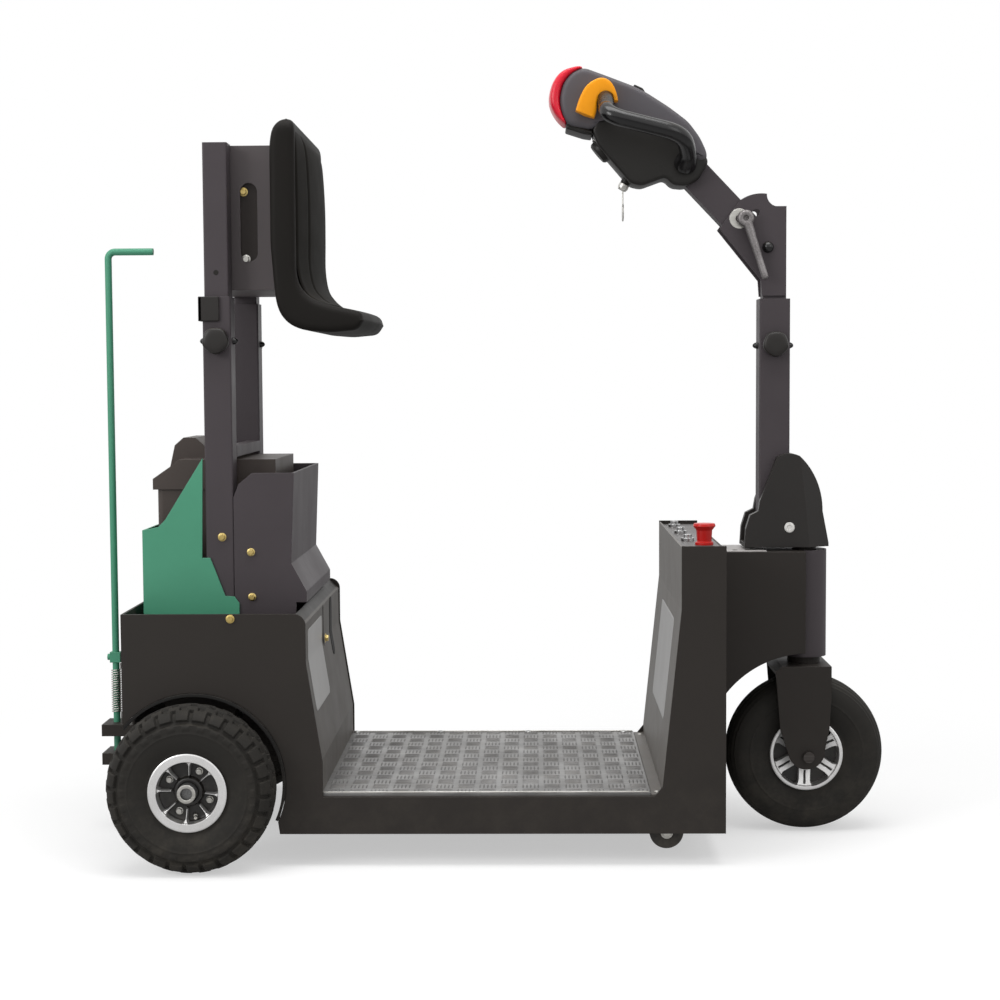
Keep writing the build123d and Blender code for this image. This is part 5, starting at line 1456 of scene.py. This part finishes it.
knobs = [index_knob(at(MAST_X, sign * 175, STUD_Z), (0, sign, 0)) for sign in (-1, 1)]
blocks = block(BLOCK_SIDE, 0.0025, 0.0048, 0.0012) + block(BLOCK_BACK, 0.0015, BLOCK_OUT - BLOCK_IN, 0.001)
mast_grips = make_piece("mast_grips", knobs + blocks, "chassis", "black_plastic", sharp=45)
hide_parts("mast_knobs")
column_knob = index_knob(at(COLUMN_X, -COLUMN_HALF, 838), (0, -1, 0))
column_grip = make_piece("column_grip", [column_knob], "steering", "black_plastic", sharp=45)
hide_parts("column_knob")
print("knobs done")

# %% Hood cap and pivot caps
CAP = (
    (0, 0), (0.0088, 0), (0.0088, 0.001), (0.0078, 0.0022), (0.0045, 0.0026), (0.0042, 0.0020), (0, 0.0020),
)
make_piece("hood_cap", [turned(CAP, at(510, -42, 526), (0, -1, 0), 40)], "steering", "white_cap")

PIVOT = at(474, 0, 1002)
CHEEK_OUT = 0.0240
PIVOT_R = 0.006
CORE = ((0, -CHEEK_OUT), (PIVOT_R, -CHEEK_OUT), (PIVOT_R, CHEEK_OUT), (0, CHEEK_OUT))
caps = [
    dome_head(PIVOT + (0, sign * CHEEK_OUT, 0), (0, sign, 0), 0.0098, 0.0095, rows=9) for sign in (-1, 1)
]
core = turned(CORE, PIVOT, (0, 1, 0), 24)
pivot_piece = make_piece("pivot_caps", caps + [core], "column", "gloss_black")
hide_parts("tilt_pivot")
print("caps done")

# %% Bolt in the kick panel's slot, and a pale plate on the neck as painted sheen
SLOT_BOLT = at(-289.8, 0, 333)
slot_bolt = hex_head(SLOT_BOLT, (1, 0, 0), 0.0105, 0.005, phase=0.3)
make_piece("slot_bolt", slot_bolt, "chassis", "brass_zinc")
foot_heads = [dome_head(at(272, sign * 240, 113), (0, 0, 1), 0.007, 0.0045) for sign in (-1, 1)]
make_piece("strip_bolts", foot_heads, "chassis", "bright_zinc")


def flat_plate(corners, axis, place, thick, radius=0.006, around=0, rings=4):
    """Thin plate with rounded corners, square to one axis: a pillow laid onto it by swapping coordinates.
    A plate that is to be bent has more points: around on its edge, and rings from there inwards."""
    line = rounded(np.asarray(corners, float) * MM, radius)
    if around:
        line = along_line(np.concatenate((line, line[:1])), around + 1)[:-1]
    cap = np.linspace(0.0, 0.97, rings)
    skin, wrap_u, wrap_v = pillow(line, place, place + thick, min(0.3 * thick, 0.0008), cap=cap)
    first, depth, second = skin[..., 0], skin[..., 1], skin[..., 2]
    order = {"x": (depth, first, second), "z": (first, second, depth)}[axis]
    return np.stack(order, axis=-1), wrap_u, wrap_v


def oblong(low, high):
    """The four corners of an upright rectangle between two opposite ones."""
    return (low, (low[0], high[1]), high, (high[0], low[1]))


# A pale plate on the neck top: painted reflection, standing for the sheen of the dark paint at a grazing
# view.
neck_sheen_plate = flat_plate(oblong((384, -60), (470, 60)), "z", 0.4861, 0.0015, 0.003)
make_piece("neck_sheen_plate", [neck_sheen_plate], "chassis", "pale_plate")
# A thin dark disc on the neck plate: painted shade standing for a hole.
NECK_HOLE_SHADE = ((0, 0), (0.0045, 0), (0.0045, 0.0003), (0, 0.0003))
make_piece("neck_hole_shade", [turned(NECK_HOLE_SHADE, at(418, -38, 487.6), (0, 0, 1), 24)], "chassis", "tyre")
print("slot bolt and neck plate done")

# %% Rings on the wheel hubs
HUB_RING = (
    (0.0095, 0.0), (0.0148, 0.0), (0.0148, 0.0009), (0.0142, 0.0014), (0.0100, 0.0014), (0.0095, 0.0009),
    (0.0095, 0.0),
)
HUB_RING_Y = 0.3402
for side, sign in SIDES:
    ring = turned(HUB_RING, (REAR_X, sign * HUB_RING_Y, AXLE_Z), (0, sign, 0), 40)
    make_piece(f"hub_ring_{side}", [ring], "chassis", "bright_zinc")
print("rings done")

# %% Bolts through the roller brackets
roller_bolts = []
bracket_low, bracket_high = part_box("roller_brackets")
for side, sign, face in (("left", 1, bracket_high.y), ("right", -1, bracket_low.y)):
    low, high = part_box(f"roller_{side}")
    centre = np.array(((low.x + high.x) / 2, face, (low.z + high.z) / 2))
    roller_bolts += hex_head(centre, (0, sign, 0), 0.013, 0.005, phase=0.2)
make_piece("roller_bolts", roller_bolts, "chassis", "bright_zinc")
print("roller bolts done")

# %% Painted shadow in a slot of the kick panel and painted highlights on the deck edges
KICK_PLACE = ((0.170, -0.2680), (0.330, -0.2930), (0.409, -0.2930))
DECK_HIGHLIGHT_Y = (-258, 254)
HIGHLIGHT_WIDE = 4


def follow(skin, line):
    """Lays a plate that is square to X onto a bent sheet: adds the x of the (z, x) line at each point's z."""
    points, wrap_u, wrap_v = skin
    points = points.copy()
    points[..., 0] += np.interp(points[..., 2], *np.transpose(line))
    return points, wrap_u, wrap_v


# A thin dark sheet laid on the kick panel: painted shadow where a slot opens in it.
slot_shadow = flat_plate(oblong((98, 288), (130, 392)), "x", 0.0, 0.0008, 0.015, around=160, rings=24)
make_piece("slot_shadow", [follow(slot_shadow, KICK_PLACE)], "chassis", "trim_rubber")
# Thin bright strips along both deck edges: painted highlight where the plate's edge catches the light.
deck_edge_highlights = [
    flat_plate(
        ((-298, low), (258, low), (258, low + HIGHLIGHT_WIDE), (-298, low + HIGHLIGHT_WIDE)), "z", 0.1178, 0.0024, 0.001
    )
    for low in DECK_HIGHLIGHT_Y
]
make_piece("deck_edge_highlights", deck_edge_highlights, "chassis", "bright_zinc")
print("strip and edges done")

# %% [markdown]
# ## Blank stickers
#
# The real machine carries stickers on the kick panel and on the rider's
# side of the tower. Here they are left bare: thin pale film with rounded
# corners, about half a millimetre proud of the sheet so that its edge
# still catches the light.

# %% Bare films on the two panels
TOWER_PLACE = ((0.129, 0.2790), (0.413, 0.3090), (0.513, 0.3090))
kick_film = flat_plate(
    ((-25, 243), (-25, 377), (-220, 377), (-220, 243)), "x", 0.0, 0.0006, 0.012, around=240, rings=40
)
tower_film = flat_plate(oblong((-150, 215), (130, 385)), "x", -0.0003, 0.0003, 0.014)
make_piece("kick_film", [follow(kick_film, KICK_PLACE)], "chassis", "bare_film")
make_piece("tower_film", [follow(tower_film, TOWER_PLACE)], "chassis", "bare_film")
print("films done")
